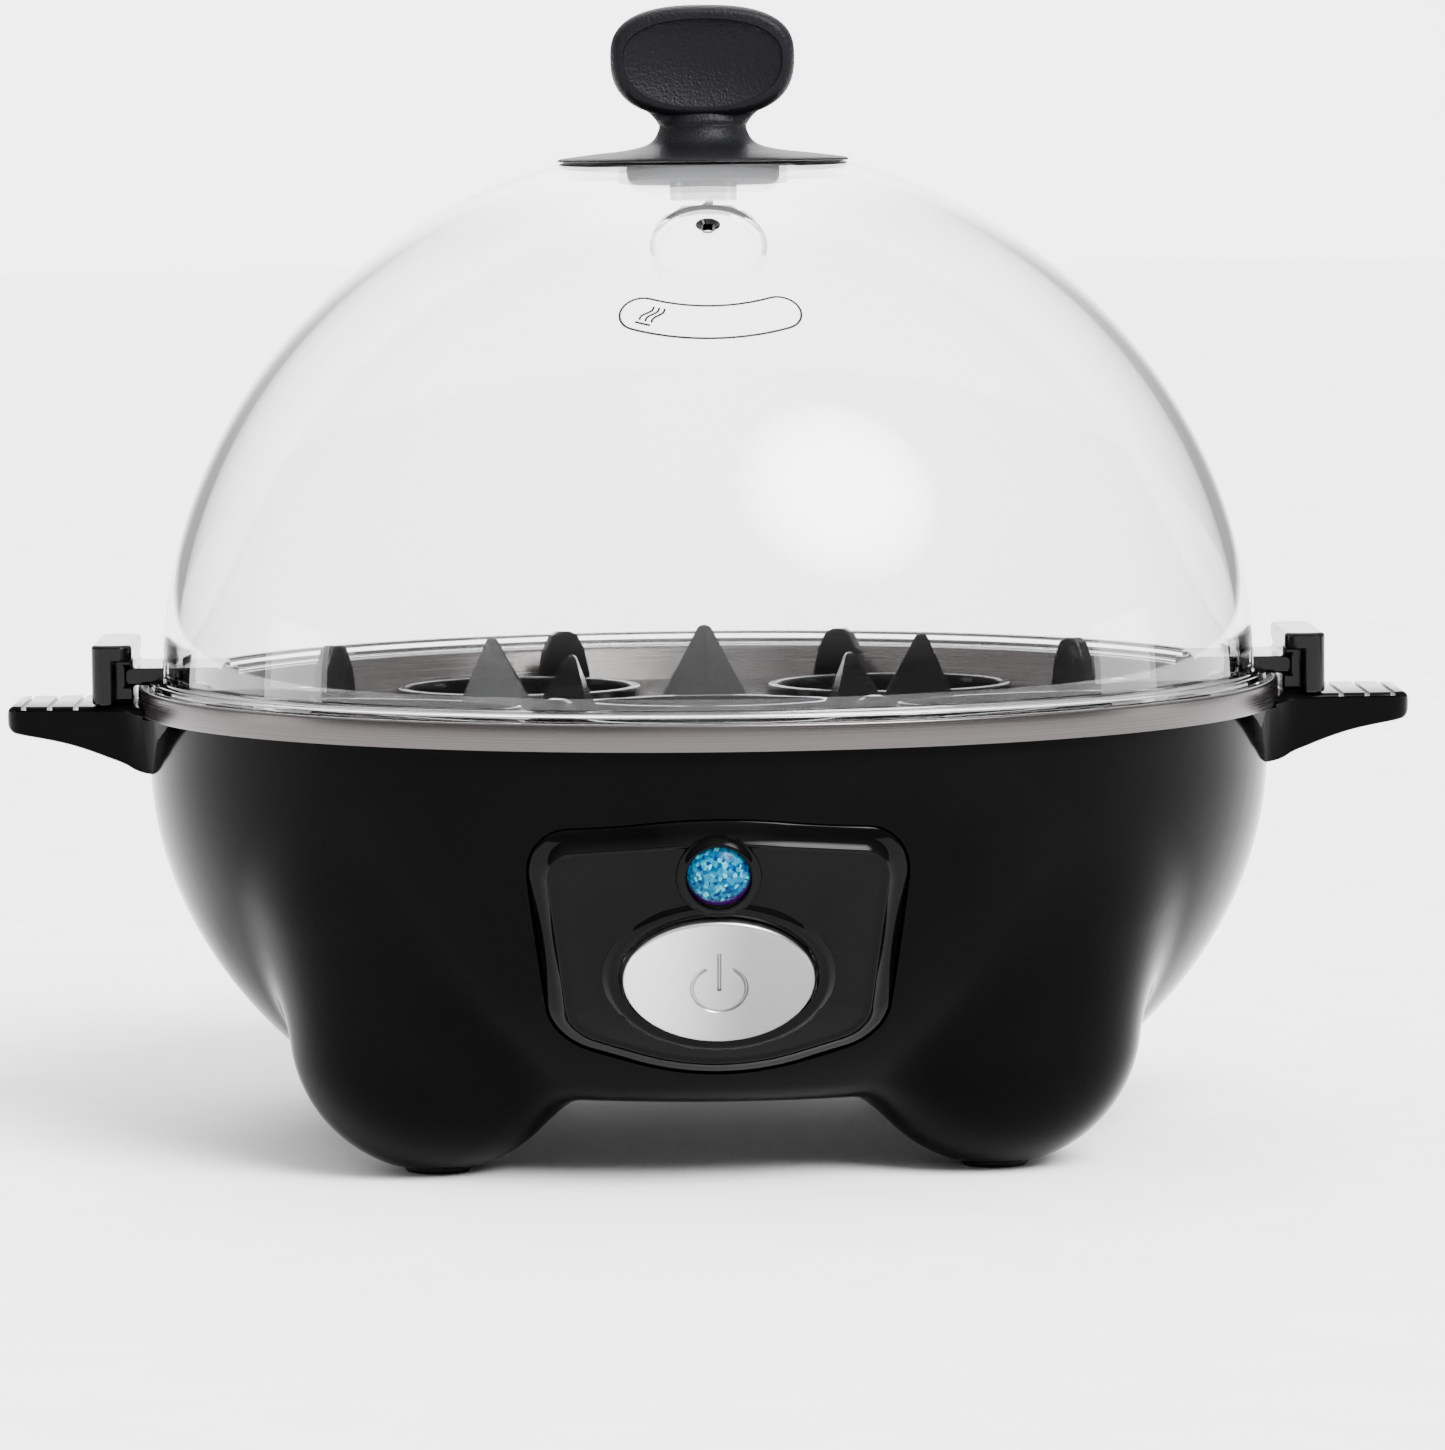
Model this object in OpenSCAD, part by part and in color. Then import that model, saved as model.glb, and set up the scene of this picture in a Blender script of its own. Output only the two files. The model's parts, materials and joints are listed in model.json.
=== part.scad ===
// Electric egg cooker: a bowl-shaped base on four bulbous feet, a steel heating pan with a bright
// rim, an egg tray with lifting ears, and a clear domed lid with a paddle knob.
// +Z is up and the control panel faces -Y. The origin is on the table, at the centre of the base.

/* [Base bowl] */
// Outer radius of the bowl at its widest
bowl_r = 79.6; // [78.6:0.1:80.6]
// Height of the widest circle above the table
bowl_wide_z = 54.5; // [54:0.1:55]
// How far the bowl's curve would reach below its widest circle
bowl_depth = 61.8; // [61:0.1:63]
// Height of the flat underside above the table
floor_z = 11; // [10.4:0.1:11.6]
// Height of the bowl's top edge
bowl_top_z = 62.6; // [62.2:0.1:63]
// Thickness of the moulded wall
wall = 2.4; // [2.2:0.1:2.6]

/* [Feet] */
// Distance of each bulbous foot from the centre
foot_ring_r = 54.4; // [53.5:0.1:55]
// Radius of a foot's lower bulb
foot_r = 20.4; // [20:0.1:20.8]
// Radius of a foot's upper end, inside the bowl
foot_top_r = 19.5; // [19:0.1:20]
// How far a foot leans outwards from its bulb to its upper end
foot_lean = 4.1; // [3.5:0.1:4.6]
// Height from the bulb's centre to the upper end's centre
foot_rise = 17.6; // [17:0.1:18]
// Diameter of a rubber foot pad
pad_d = 9.6; // [9:0.1:10]

/* [Steel pan] */
// Thickness of the pan's sheet
sheet = 0.8; // [0.7:0.05:0.9]
// Height of the bright rim band
rim_h = 3.7; // [3.4:0.1:3.9]
// Gap between the bowl and the rim band around it
rim_gap = 0.8; // [0.7:0.05:0.9]
// Height of the step that carries the tray
step_z = 57.2; // [57:0.1:57.6]
// Height of the pan's floor
pan_floor_z = 49; // [48.8:0.1:49.4]

/* [Lid] */
// Height of the dome above the rim, from its widest circle to its top
dome_h = 76; // [74:0.5:78]
// Thickness of the clear wall
dome_wall = 2; // [1.8:0.1:2.2]
// Distance of the steam vent from the lid's axis
vent_r = 44; // [40:0.5:48]
// Width of the oval dimple around the vent
vent_dish_w = 16.4; // [14:0.1:18]
// Length of that dimple up the dome's slope
vent_dish_l = 20.4; // [18:0.1:22]

/* [Knob] */
// Width of the paddle
knob_w = 26.1; // [24:0.1:27]
// Height of the paddle above its neck
knob_h = 16; // [15.4:0.1:16.6]
// Thickness of the paddle from front to back
knob_t = 10; // [9:0.1:12]
// Diameter of the thin round flange under the knob
knob_flange_d = 41.4; // [40:0.1:43]

/* [Egg tray] */
// Radius of the circle through the outer egg seats
seat_ring_r = 47; // [46.5:0.1:47.5]
// Diameter of the hole under each egg
seat_d = 33; // [31:0.5:34]
// Thickness of the tray's plate
tray_t = 2; // [1.8:0.1:2.2]
// Width of a lifting ear, from front to back
ear_w = 25; // [24:0.5:26]

/* [Handles] */
// Distance from one handle's tip to the other's
handle_span = 199; // [197:0.5:201]
// Width of a handle at its tip
handle_tip_w = 21; // [20:0.5:22]
// Thickness of a handle at its tip
handle_tip_t = 3.1; // [2.9:0.1:3.3]

/* [Control panel] */
// Angle of the panel from the vertical: its lower edge tucks under
panel_tilt = 28; // [27:0.5:29]
// Height of the button's centre
button_z = 30; // [29.6:0.1:30.4]
// Width of the oval power button
button_w = 25.7; // [25:0.1:26]
// Height of the oval power button, along the panel
button_h = 19.3; // [18.6:0.1:19.6]
// Travel of the power button
button_travel = 2; // [1.5:0.1:2]
// Diameter of the indicator lens
lens_d = 8.4; // [8:0.1:8.8]

/* [Cord inlet] */
// Diameter of the hole for the mains cord
cord_hole_d = 6.6; // [6:0.1:7.4]
// Height of the inlet's axis
inlet_z = 25; // [24.6:0.1:25.4]

/* [Hidden] */
$fn = 96;
eps = 0.01;          // how far a raised part is sunk into the plate below it
fit = 0.06;          // radial running clearance
far = 300;           // longer than any part of the cooker

foot_angles = [45, 135, 225, 315];
cross_angles = [0, 90, 180, 270];
bowl_steps = 20;

// Rim and ledge of the pan
rim_r = bowl_r + rim_gap + sheet;
rim_top_z = bowl_top_z + 2.4;
rim_bottom_z = rim_top_z - rim_h;
gasket_t = 0.8;
ledge_z = bowl_top_z + gasket_t + sheet;      // top of the ledge under the lid
ledge_inner_r = bowl_r - 6.1;
step_outer_r = bowl_r - 7.6;
step_inner_r = bowl_r - 11.6;
pan_floor_r = bowl_r - 14.1;
lip_round = 0.35;

// Lid
lid_z = ledge_z + 0.1;                        // foot of the lid, just above the pan's ledge
dome_r = bowl_r - 1.7;
dome_z = rim_top_z;
dome_flat_z = dome_z + dome_h - 1.7;          // flat seat for the knob
dome_under_z = dome_flat_z - 2.3;             // flat inside for the washer
dome_steps = 28;
flange_r = dome_r + 1.9;
flange_t = 1.6;
notch_w = 19.6;                               // the tray's arms pass through the lid's two notches
notch_h = 4.2;
vent_hole_d = 3.4;
vent_dish_depth = 1.2;
vent_hole_up = 5;                             // the hole is this far up the slope from the dimple's middle
knob_screw_d = 4;
neck_h = 5.3;
knob_drop = 0.7;                              // the paddle is widest this far above its middle
knob_seat_r = 8;                              // the knob stands on the dome's flat seat within this
washer_d = 24;
washer_t = 1.4;

// Handles
handle_top_z = bowl_top_z;
handle_root_z = 52.7;
handle_root_half = 33;
handle_neck_half = 11.6;                      // half of its width where it leaves the bowl
handle_screw_y = 7;
handle_screw_z = 58.4;
handle_screw_out = 4.8;                       // how far its screws reach beyond the bowl
groove_pitch = 3.7;
groove_w = 0.7;
groove_depth = 0.5;
handle_round = 4;                             // corner radius of its tip, seen from above

// Tray
seat_count = 5;                               // seats around the centre one
tray_r = bowl_r - 8.4;
tray_z = step_z + 0.1;                        // underside of the tray, just above the pan's step
web_x = tray_r - 0.2;                         // outer face of the arm's upright
web_t = 2;
arm_w = 18;
arm_gap = 0.4;                                // between the rim's lip and the arm over it
arm_t = 2.4;
ear_x = [rim_r + 0.3, rim_r + 6];
ear_z = handle_top_z + 0.2;                   // underside of an ear, just above the handle
ear_h = 8.5;
ear_round = 1.9;
ear_roof_t = 2.4;                             // its ends are open on the inner side, below a roof
ear_wall_t = 3;
ear_open = 4;
prong_t = 2.4;
prong_spread = 18;                            // prongs stand this many degrees from a seat's middle
divider_ring_r = 32.6;

// Heat stack under the pan
spreader_t = 2.5;
spreader_r = 43.5;
spreader_z = pan_floor_z - sheet - spreader_t;
element_r = 38;
element_d = 6.6;
element_z = spreader_z - element_d / 2 - 0.05;
element_gap_a = 30;                           // half of the gap between the element's two ends
thermostat_h = 8;
fuse_y = 22;
fuse_d = 4;
shield_z = 34;
shield_t = 0.8;
shield_r = 60;
post_d = 7;
post_z = shield_z + shield_t;

// Terminal block and its leads
block_w = 20;
block_h = 9;
lead_x = [-7.5, -2.5, 2.5, 7.5];
lead_z = floor_z + wall + block_h / 2;

// Cord inlet
inlet_start_y = 56;
inlet_face_y = 75;
inlet_boss_d = 17;
inlet_d = 11;

// Screws, each a little thinner than its hole
screw_d = 2.5;
screw_hole_d = 2.6;
pan_screw_d = 3.2;
pan_screw_hole_d = 3.6;
screw_colour = [0.75, 0.76, 0.78];

// Underside
pad_proud = 0.8;
pad_h = 2.5;
pillar_d = 12.4;
pillar_bore_d = 7.4;
pillar_seat_z = 26;
cover_t = 1.8;
cover_r = 32.2;
cover_opening_r = 27;
cover_screw_r = 29.4;
cover_land = 4;                               // width of the thickened ring around the cover
cover_boss_d = 8;
cover_boss_h = 9;
cover_head_d = 5;                             // heads of the cover's screws
cover_head_h = 1.1;

// Panel frame: the button's axis meets the bowl's surface at this distance
button_y = -bowl_radius(button_z);
lens_z = 44.6;
lens_tilt = 13;
lens_y = -bowl_radius(lens_z);
panel_proud = 0.5;
panel_gap = 0.25;
panel_flange = 1.8;
panel_flange_t = 1.4;
bracket_w = -7.4;                             // front of the switch bracket, behind the panel
bracket_t = 1.6;
bracket_screw_x = 19;
bracket_boss_d = 6;
cap_skirt = 2.6;                              // the button's depth behind the bowl's surface
cap_top = 1.1;                                // the button's crown in front of it
cap_wall = 1.5;
cap_under = -1.2;
button_gap = 0.35;
stem_d = 5;
lamp_d = 5;
guide_d = 6.7;                                // the stem's guide bush, in the bracket's hole
plunger_d = 4;
plunger_depth = 4.5;                          // how far the plunger reaches into the switch
switch_top = bracket_w - bracket_t;
switch_depth = 8;

// Radius of the bowl's outer surface at a height
function bowl_radius(z) = bowl_r * sqrt(1 - pow((bowl_wide_z - z) / bowl_depth, 2));

// Points along an arc from angle a0 to a1
function arc_points(centre, r, a0, a1, steps) =
    [for (i = [0:steps]) let (a = a0 + (a1 - a0) * i / steps) centre + r * [cos(a), sin(a)]];

// The bowl's curve at a depth inside its surface, from its floor up to its widest circle
function bowl_curve(inset) =
    let (low = asin((bowl_wide_z - floor_z - inset) / (bowl_depth - inset)))
    [for (i = [0:bowl_steps]) let (a = low * (1 - i / bowl_steps))
        [(bowl_r - inset) * cos(a), bowl_wide_z - (bowl_depth - inset) * sin(a)]];

// The dome's curve at a depth inside its surface, from its widest circle up to a flat top
function dome_curve(inset, top_z) =
    let (high = asin((top_z - dome_z) / (dome_h - inset)))
    [for (i = [0:dome_steps]) let (a = high * i / dome_steps)
        [(dome_r - inset) * cos(a), dome_z + (dome_h - inset) * sin(a)]];

// One rounded corner of a convex outline that runs counter-clockwise: prev, corner, next
function corner_arc(prev, corner, next, r, grow, steps) =
    let (
        u = (prev - corner) / norm(prev - corner),
        v = (next - corner) / norm(next - corner),
        half = acos(u * v) / 2,
        bisector = (u + v) / norm(u + v),
        centre = corner + bisector * r / sin(half),
        out = atan2(-bisector[1], -bisector[0]),
        sweep = 90 - half
    )
    arc_points(centre, r + grow, out - sweep, out + sweep, steps);

// A convex outline given as [x, y, corner radius], grown outwards by a margin
function rounded_outline(corners, grow = 0, steps = 8) =
    let (n = len(corners))
    [for (i = [0:n - 1])
        let (
            prev = corners[(i + n - 1) % n],
            here = corners[i],
            next = corners[(i + 1) % n]
        )
        each corner_arc([prev[0], prev[1]], [here[0], here[1]], [next[0], next[1]], here[2], grow, steps)];

function ellipse_points(rx, ry, steps = 48) =
    [for (i = [0:steps - 1]) let (a = 360 * i / steps) [rx * cos(a), ry * sin(a)]];

// An oval that is squarer than an ellipse, less tall above its widest place than below it
function oval_points(rx, ry, drop, power = 2.5, steps = 48) =
    [for (i = [0:steps - 1])
        let (a = 360 * i / steps, c = cos(a), s = sin(a), half = ry - sign(s) * drop)
        [rx * sign(c) * pow(abs(c), 2 / power), half * sign(s) * pow(abs(s), 2 / power)]];

// The panel's arched outline in the panel's own plane, measured from the button's centre
function panel_outline(grow) = rounded_outline([
    [0, 23.2, 60],
    [-26, 19.2, 6.5],
    [-22.4, -12, 8],
    [0, -18.8, 36],
    [22.4, -12, 8],
    [26, 19.2, 6.5]
], grow);

// Solid of revolution of the bowl at a depth inside its surface
module bowl_solid(inset, top_z) {
    rotate_extrude()
        polygon(concat(
            [[0, floor_z + inset]],
            bowl_curve(inset),
            [[bowl_r - inset, top_z], [0, top_z]]
        ));
}

// One foot at a depth inside its surface: two bulbs joined by a cone, leaning outwards
module foot_solid(inset) {
    span = norm([foot_lean, foot_rise]);
    slope = asin((foot_r - foot_top_r) / span);
    translate([foot_ring_r, 0, foot_r])
        rotate([0, atan2(foot_lean, foot_rise), 0])
            rotate_extrude()
                polygon(concat(
                    arc_points([0, 0], foot_r - inset, -90, slope, 12),
                    arc_points([0, span], foot_top_r - inset, slope, 90, 10)
                ));
}

module around(angles) {
    for (a = angles) rotate([0, 0, a]) children();
}

// Puts children in the panel's frame: x across, y up the panel, z out of its face
module on_panel() {
    translate([0, button_y, button_z]) rotate([90 + panel_tilt, 0, 0]) children();
}

module on_lens() {
    translate([0, lens_y, lens_z]) rotate([90 + lens_tilt, 0, 0]) children();
}

module mirrored_x() {
    children();
    mirror([1, 0, 0]) children();
}

// A round bar along Z between two heights
module bar(d, z0, z1) {
    translate([0, 0, z0]) cylinder(d = d, h = z1 - z0);
}

// A box between two corners
module block(low, high) {
    translate(low) cube(high - low);
}

// ---------------------------------------------------------------- lid

module dome_solid(inset, top_z) {
    rotate_extrude()
        polygon(concat([[0, lid_z], [dome_r - inset, lid_z]], dome_curve(inset, top_z), [[0, top_z]]));
}

module vent_frame() {
    height = dome_z + dome_h * sqrt(1 - pow(vent_r / dome_r, 2));
    lean = atan2(vent_r / pow(dome_r, 2), (height - dome_z) / pow(dome_h, 2));
    translate([0, -vent_r, height]) rotate([lean, 0, 0]) children();
}

module lid_dome() {
    color([0.88, 0.92, 0.95, 0.3])
        difference() {
            union() {
                dome_solid(0, dome_flat_z);
                bar(2 * flange_r, lid_z, lid_z + flange_t);
            }
            dome_solid(dome_wall, dome_under_z);
            bar(2 * (dome_r - dome_wall), lid_z - 1, lid_z + 1);
            bar(knob_screw_d + 0.4, dome_under_z - 1, dome_flat_z + 1);
            mirrored_x()
                block([web_x - web_t, -notch_w / 2, lid_z - 1], [flange_r + 1, notch_w / 2, lid_z + notch_h]);
            vent_frame() {
                translate([0, 0, -vent_dish_depth])
                    linear_extrude(vent_dish_w)
                        polygon(ellipse_points(vent_dish_w / 2, vent_dish_l / 2));
                translate([0, vent_hole_up, 0]) bar(vent_hole_d, -2 * dome_wall, vent_dish_w);
            }
        }
}

module knob_paddle() {
    translate([0, knob_t / 2, dome_flat_z + neck_h + knob_h / 2 + knob_drop])
        rotate([90, 0, 0])
            linear_extrude(knob_t)
                polygon(oval_points(knob_w / 2, knob_h / 2, knob_drop));
}

// Height of the knob's underside over the dome, just clear of the dome's curve
function knob_under_z(r) =
    min(dome_flat_z, dome_z + dome_h * sqrt(1 - pow(r / dome_r, 2))) + (r > knob_seat_r ? 0.15 : 0);

module lid_knob() {
    flange_r = knob_flange_d / 2;
    steps = 6;
    color([0.09, 0.09, 0.1])
        difference() {
            union() {
                rotate_extrude()
                    polygon(concat(
                        [[0, dome_flat_z], [knob_seat_r, dome_flat_z]],
                        [for (i = [0:steps])
                            let (r = knob_seat_r + 0.01 + (flange_r - knob_seat_r - 0.01) * i / steps)
                            [r, knob_under_z(r)]],
                        [
                            [flange_r, knob_under_z(flange_r) + 0.3],
                            [flange_r - 0.5, knob_under_z(flange_r) + 0.6],
                            [15.6, dome_flat_z + 0.3],
                            [11.4, dome_flat_z + 0.7],
                            [8.4, dome_flat_z + 1.3],
                            [7, dome_flat_z + 2.2],
                            [6.3, dome_flat_z + 3.8],
                            [6.5, dome_flat_z + neck_h + 0.6],
                            [0, dome_flat_z + neck_h + 0.6]
                        ]
                    ));
                knob_paddle();
            }
            bar(knob_screw_d + 0.1, dome_flat_z - 1, dome_flat_z + 9);
        }
}

module knob_washer() {
    color([0.2, 0.2, 0.21])
        difference() {
            bar(washer_d, dome_under_z - washer_t, dome_under_z);
            bar(knob_screw_d + 0.4, dome_under_z - 2 * washer_t, dome_under_z + 1);
        }
}

module knob_screw() {
    head_d = 9.5;
    head_h = 2.6;
    seat_z = dome_under_z - washer_t;
    color(screw_colour)
        difference() {
            union() {
                bar(knob_screw_d, seat_z - 1, dome_flat_z + 8);
                bar(head_d, seat_z - head_h, seat_z);
            }
            block([-head_d, -0.5, seat_z - head_h - 1], [head_d, 0.5, seat_z - head_h + 1]);
        }
}

// ---------------------------------------------------------------- tray

// One upright finger that steadies an egg, on the tray's plate
module prong() {
    translate([tray_r - 4, 0, tray_z + tray_t - eps])
        rotate([90, 0, 90])
            linear_extrude(prong_t)
                polygon([[-4.2, 0], [4.2, 0], [3.2, 5], [2, 7.4], [0.8, 8], [-0.8, 8], [-2, 7.4], [-3.2, 5]]);
}

// One three-sided divider between two outer seats and the centre seat
module divider() {
    translate([divider_ring_r, 0, tray_z + tray_t - eps])
        rotate([0, 0, 60]) cylinder(r1 = 7.4, r2 = 0.9, h = 11, $fn = 3);
}

module tray_arm() {
    low_z = rim_top_z + arm_gap;
    block([web_x - web_t, -arm_w / 2, tray_z], [web_x, arm_w / 2, low_z + arm_t]);
    block([web_x - web_t, -arm_w / 2, low_z], [ear_x[0] + 1, arm_w / 2, low_z + arm_t]);
    difference() {
        translate([0, 0, ear_z])
            linear_extrude(ear_h)
                polygon(rounded_outline([
                    [ear_x[0], -ear_w / 2, ear_round],
                    [ear_x[1], -ear_w / 2, ear_round],
                    [ear_x[1], ear_w / 2, ear_round],
                    [ear_x[0], ear_w / 2, ear_round]
                ]));
        for (end = [0, 1])
            mirror([0, end, 0])
                block([ear_x[0] - 1, ear_w / 2 - ear_open, ear_z - 1],
                      [ear_x[1] - ear_wall_t, ear_w / 2 + 1, ear_z + ear_h - ear_roof_t]);
    }
}

module egg_tray() {
    seat_pitch = 360 / seat_count;
    seat_angles = [for (i = [0:seat_count - 1]) i * seat_pitch - 90];
    collar_h = 1.8;
    collar_t = 1.8;
    color([0.14, 0.14, 0.15])
        difference() {
            union() {
                bar(2 * tray_r, tray_z, tray_z + tray_t);
                around(seat_angles) translate([seat_ring_r, 0, 0])
                    bar(seat_d + 2 * collar_t, tray_z, tray_z + tray_t + collar_h);
                bar(seat_d + 2 * collar_t, tray_z, tray_z + tray_t + collar_h);
                for (a = seat_angles, side = [-1, 1]) rotate([0, 0, a + side * prong_spread]) prong();
                around([for (a = seat_angles) a + seat_pitch / 2]) divider();
                mirrored_x() tray_arm();
            }
            around(seat_angles) translate([seat_ring_r, 0, 0]) bar(seat_d, tray_z - 1, far);
            bar(seat_d, tray_z - 1, far);
            around([for (a = seat_angles) a + seat_pitch / 2])
                translate([tray_r - 13, 0, 0]) bar(6, tray_z - 1, tray_z + tray_t + 1);
        }
}

// ---------------------------------------------------------------- button

module power_button() {
    crown_r = 95;
    mark_r = 3.65;
    mark_w = 0.4;
    mark_gap_a = 28;
    color([0.78, 0.78, 0.79])
        on_panel()
            difference() {
                intersection() {
                    translate([0, 0, -cap_skirt])
                        linear_extrude(cap_skirt + cap_top)
                            polygon(ellipse_points(button_w / 2, button_h / 2));
                    translate([0, 0, cap_top - crown_r]) sphere(r = crown_r, $fn = 400);
                }
                translate([0, 0, -cap_skirt - 1])
                    linear_extrude(cap_skirt + 1 + cap_under)
                        polygon(ellipse_points(button_w / 2 - cap_wall, button_h / 2 - cap_wall));
                // engraved on/off mark: a broken ring and a bar
                translate([0, -0.5, cap_top - 0.35]) {
                    rotate([0, 0, 90 + mark_gap_a])
                        rotate_extrude(angle = 360 - 2 * mark_gap_a)
                            translate([mark_r - mark_w / 2, 0]) square([mark_w, 1]);
                    block([-mark_w / 2, -0.3, 0], [mark_w / 2, 5.6, 1]);
                }
            }
}

module button_stem() {
    color([0.85, 0.85, 0.83])
        on_panel() bar(stem_d, switch_top - 0.2, cap_under);
}

module switch_plunger() {
    color([0.9, 0.9, 0.88])
        on_panel() bar(plunger_d, switch_top - plunger_depth, switch_top - 0.2);
}

// ---------------------------------------------------------------- base

// Prism of the panel's outline, grown by a margin, right through the bowl's wall
module panel_prism(grow) {
    on_panel() translate([0, 0, -16]) linear_extrude(28) polygon(panel_outline(grow));
}

// Shell between two depths inside the bowl's surface
module bowl_shell(outer_inset, inner_inset) {
    difference() {
        bowl_solid(outer_inset, bowl_top_z);
        bowl_solid(inner_inset, bowl_top_z + 1);
    }
}

module foot_pillar() {
    translate([foot_ring_r, 0, 0]) bar(pillar_d, pad_proud, shield_z);
}

module foot_pillar_bores() {
    translate([foot_ring_r, 0, 0]) {
        bar(pad_d + 0.1, -1, pad_h);
        bar(pillar_bore_d, -1, pillar_seat_z);
        bar(pan_screw_hole_d, -1, shield_z + 1);
    }
}

module inlet_frame() {
    translate([0, 0, inlet_z]) rotate([-90, 0, 0]) children();
}

module base_body() {
    color([0.045, 0.045, 0.05])
        difference() {
            union() {
                difference() {
                    union() {
                        bowl_solid(0, bowl_top_z);
                        around(foot_angles) foot_solid(0);
                        inlet_frame() bar(inlet_boss_d, inlet_start_y + 2, inlet_face_y);
                    }
                    bowl_solid(wall, bowl_top_z + 1);
                    around(foot_angles) foot_solid(wall);
                }
                intersection() {
                    around(foot_angles) foot_pillar();
                    union() around(foot_angles) foot_solid(wall / 2);
                }
                inlet_frame() bar(inlet_boss_d, inlet_start_y + 2, inlet_face_y - 1);
                bar(2 * (cover_r + cover_land), floor_z + wall / 2, floor_z + wall + 2);
                around(cross_angles) translate([cover_screw_r, 0, 0])
                    bar(cover_boss_d, floor_z + wall, floor_z + cover_boss_h);
            }
            bar(far, -far, pad_proud);
            bar(2 * (cover_r + 0.15), floor_z - 1, floor_z + cover_t);
            difference() {
                bar(2 * cover_opening_r, floor_z, floor_z + cover_boss_h + 1);
                around(cross_angles) translate([cover_screw_r, 0, 0])
                    bar(cover_boss_d, floor_z - 1, floor_z + cover_boss_h + 2);
            }
            around(cross_angles) translate([cover_screw_r, 0, 0])
                bar(screw_hole_d, floor_z, floor_z + cover_boss_h - 1);
            around(foot_angles) foot_pillar_bores();
            panel_prism(panel_gap);
            inlet_frame() bar(inlet_d + 0.2, inlet_start_y - 6, inlet_face_y + 1);
            mirrored_x()
                for (side = [-1, 1])
                    translate([0, side * handle_screw_y, handle_screw_z]) rotate([0, 90, 0])
                        bar(screw_d + 0.7, bowl_r - 8, bowl_r + handle_screw_out);
        }
}

// Right-hand handle: the overlap of its plan, its side view and its front view
module handle_right() {
    tip_x = handle_span / 2;
    tip_half = handle_tip_w / 2;
    tip_bottom = handle_top_z - handle_tip_t;
    tip = concat(
        arc_points([tip_x - handle_round, -tip_half + handle_round], handle_round, -90, 0, 8),
        arc_points([tip_x - handle_round, tip_half - handle_round], handle_round, 0, 90, 8)
    );
    web = [[bowl_r + 1.6, handle_neck_half], [bowl_r + 0.3, handle_neck_half + 2.8], [bowl_r - 1.3, 20],
           [bowl_r - 3.8, 27.5], [bowl_r - 9.6, handle_root_half]];
    color([0.05, 0.05, 0.055])
        difference() {
            intersection() {
                translate([0, 0, handle_root_z - 1])
                    linear_extrude(20)
                        polygon(concat(tip, web, [for (i = [len(web) - 1:-1:0]) [web[i][0], -web[i][1]]]));
                translate([0, far / 2, 0]) rotate([90, 0, 0])
                    linear_extrude(far)
                        polygon([
                            [bowl_r - 9.6, handle_root_z - 0.6],
                            [bowl_r, handle_root_z + 0.3],
                            [bowl_r + 3.8, handle_root_z + 2.2],
                            [bowl_r + 7, handle_root_z + 4],
                            [bowl_r + 12.9, handle_root_z + 6.2],
                            [tip_x - 2, tip_bottom - 0.3],
                            [tip_x - 0.6, tip_bottom + 0.4],
                            [tip_x, tip_bottom + 1.5],
                            [tip_x, handle_top_z - 0.8],
                            [tip_x - 0.8, handle_top_z],
                            [bowl_r - 9.6, handle_top_z]
                        ]);
                rotate([90, 0, 90])
                    linear_extrude(far)
                        polygon([
                            [-handle_root_half, handle_top_z],
                            [-handle_root_half, handle_top_z - 1.4],
                            [-handle_neck_half, handle_root_z],
                            [handle_neck_half, handle_root_z],
                            [handle_root_half, handle_top_z - 1.4],
                            [handle_root_half, handle_top_z]
                        ]);
            }
            bowl_solid(0, far);
            bar(2 * (rim_r + 0.3), rim_bottom_z - 0.2, far);
            for (i = [0:2])
                translate([tip_x - 2.9 - groove_pitch * i, -far / 2, handle_top_z - groove_depth])
                    cube([groove_w, far, far]);
            for (side = [-1, 1])
                translate([0, side * handle_screw_y, handle_screw_z]) rotate([0, 90, 0])
                    bar(screw_hole_d, bowl_r - 5, bowl_r + handle_screw_out + 0.7);
        }
}

module handle_left() {
    mirror([1, 0, 0]) handle_right();
}

module handle_screws() {
    head_d = 5.6;
    head_h = 1.5;
    color(screw_colour)
        mirrored_x()
            for (side = [-1, 1])
                translate([0, side * handle_screw_y, handle_screw_z]) rotate([0, 90, 0]) {
                    bar(screw_d, bowl_r - wall - 2, bowl_r + handle_screw_out);
                    bar(head_d, bowl_r - wall - 2 - head_h, bowl_r - wall - 1.9);
                }
}

module control_panel() {
    color([0.03, 0.03, 0.035])
        difference() {
            union() {
                intersection() {
                    panel_prism(0);
                    bowl_shell(-panel_proud, wall);
                }
                intersection() {
                    panel_prism(panel_flange);
                    bowl_shell(wall, wall + panel_flange_t);
                }
                on_panel()
                    mirrored_x() translate([bracket_screw_x, 0, 0]) bar(bracket_boss_d, bracket_w, -5);
            }
            on_panel() {
                translate([0, 0, -10])
                    linear_extrude(20)
                        polygon(ellipse_points(button_w / 2 + button_gap, button_h / 2 + button_gap));
                mirrored_x() translate([bracket_screw_x, 0, 0]) bar(screw_hole_d, bracket_w - 1, -4);
            }
            on_lens() bar(lens_d + 0.1, -12, 12);
        }
}

module indicator_lens() {
    dome_top = 2.1;
    bulge_r = 5.4;
    foot = -4.5;
    color([0.05, 0.45, 0.75])
        on_lens()
            difference() {
                union() {
                    intersection() {
                        bar(lens_d, foot, dome_top);
                        translate([0, 0, dome_top - bulge_r]) sphere(r = bulge_r);
                    }
                    bar(lens_d, foot, -0.5);
                    bar(lens_d + 1.2, foot - 1.1, foot + 0.3);
                }
                bar(lamp_d + 0.1, -7, -2);
            }
}

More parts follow.
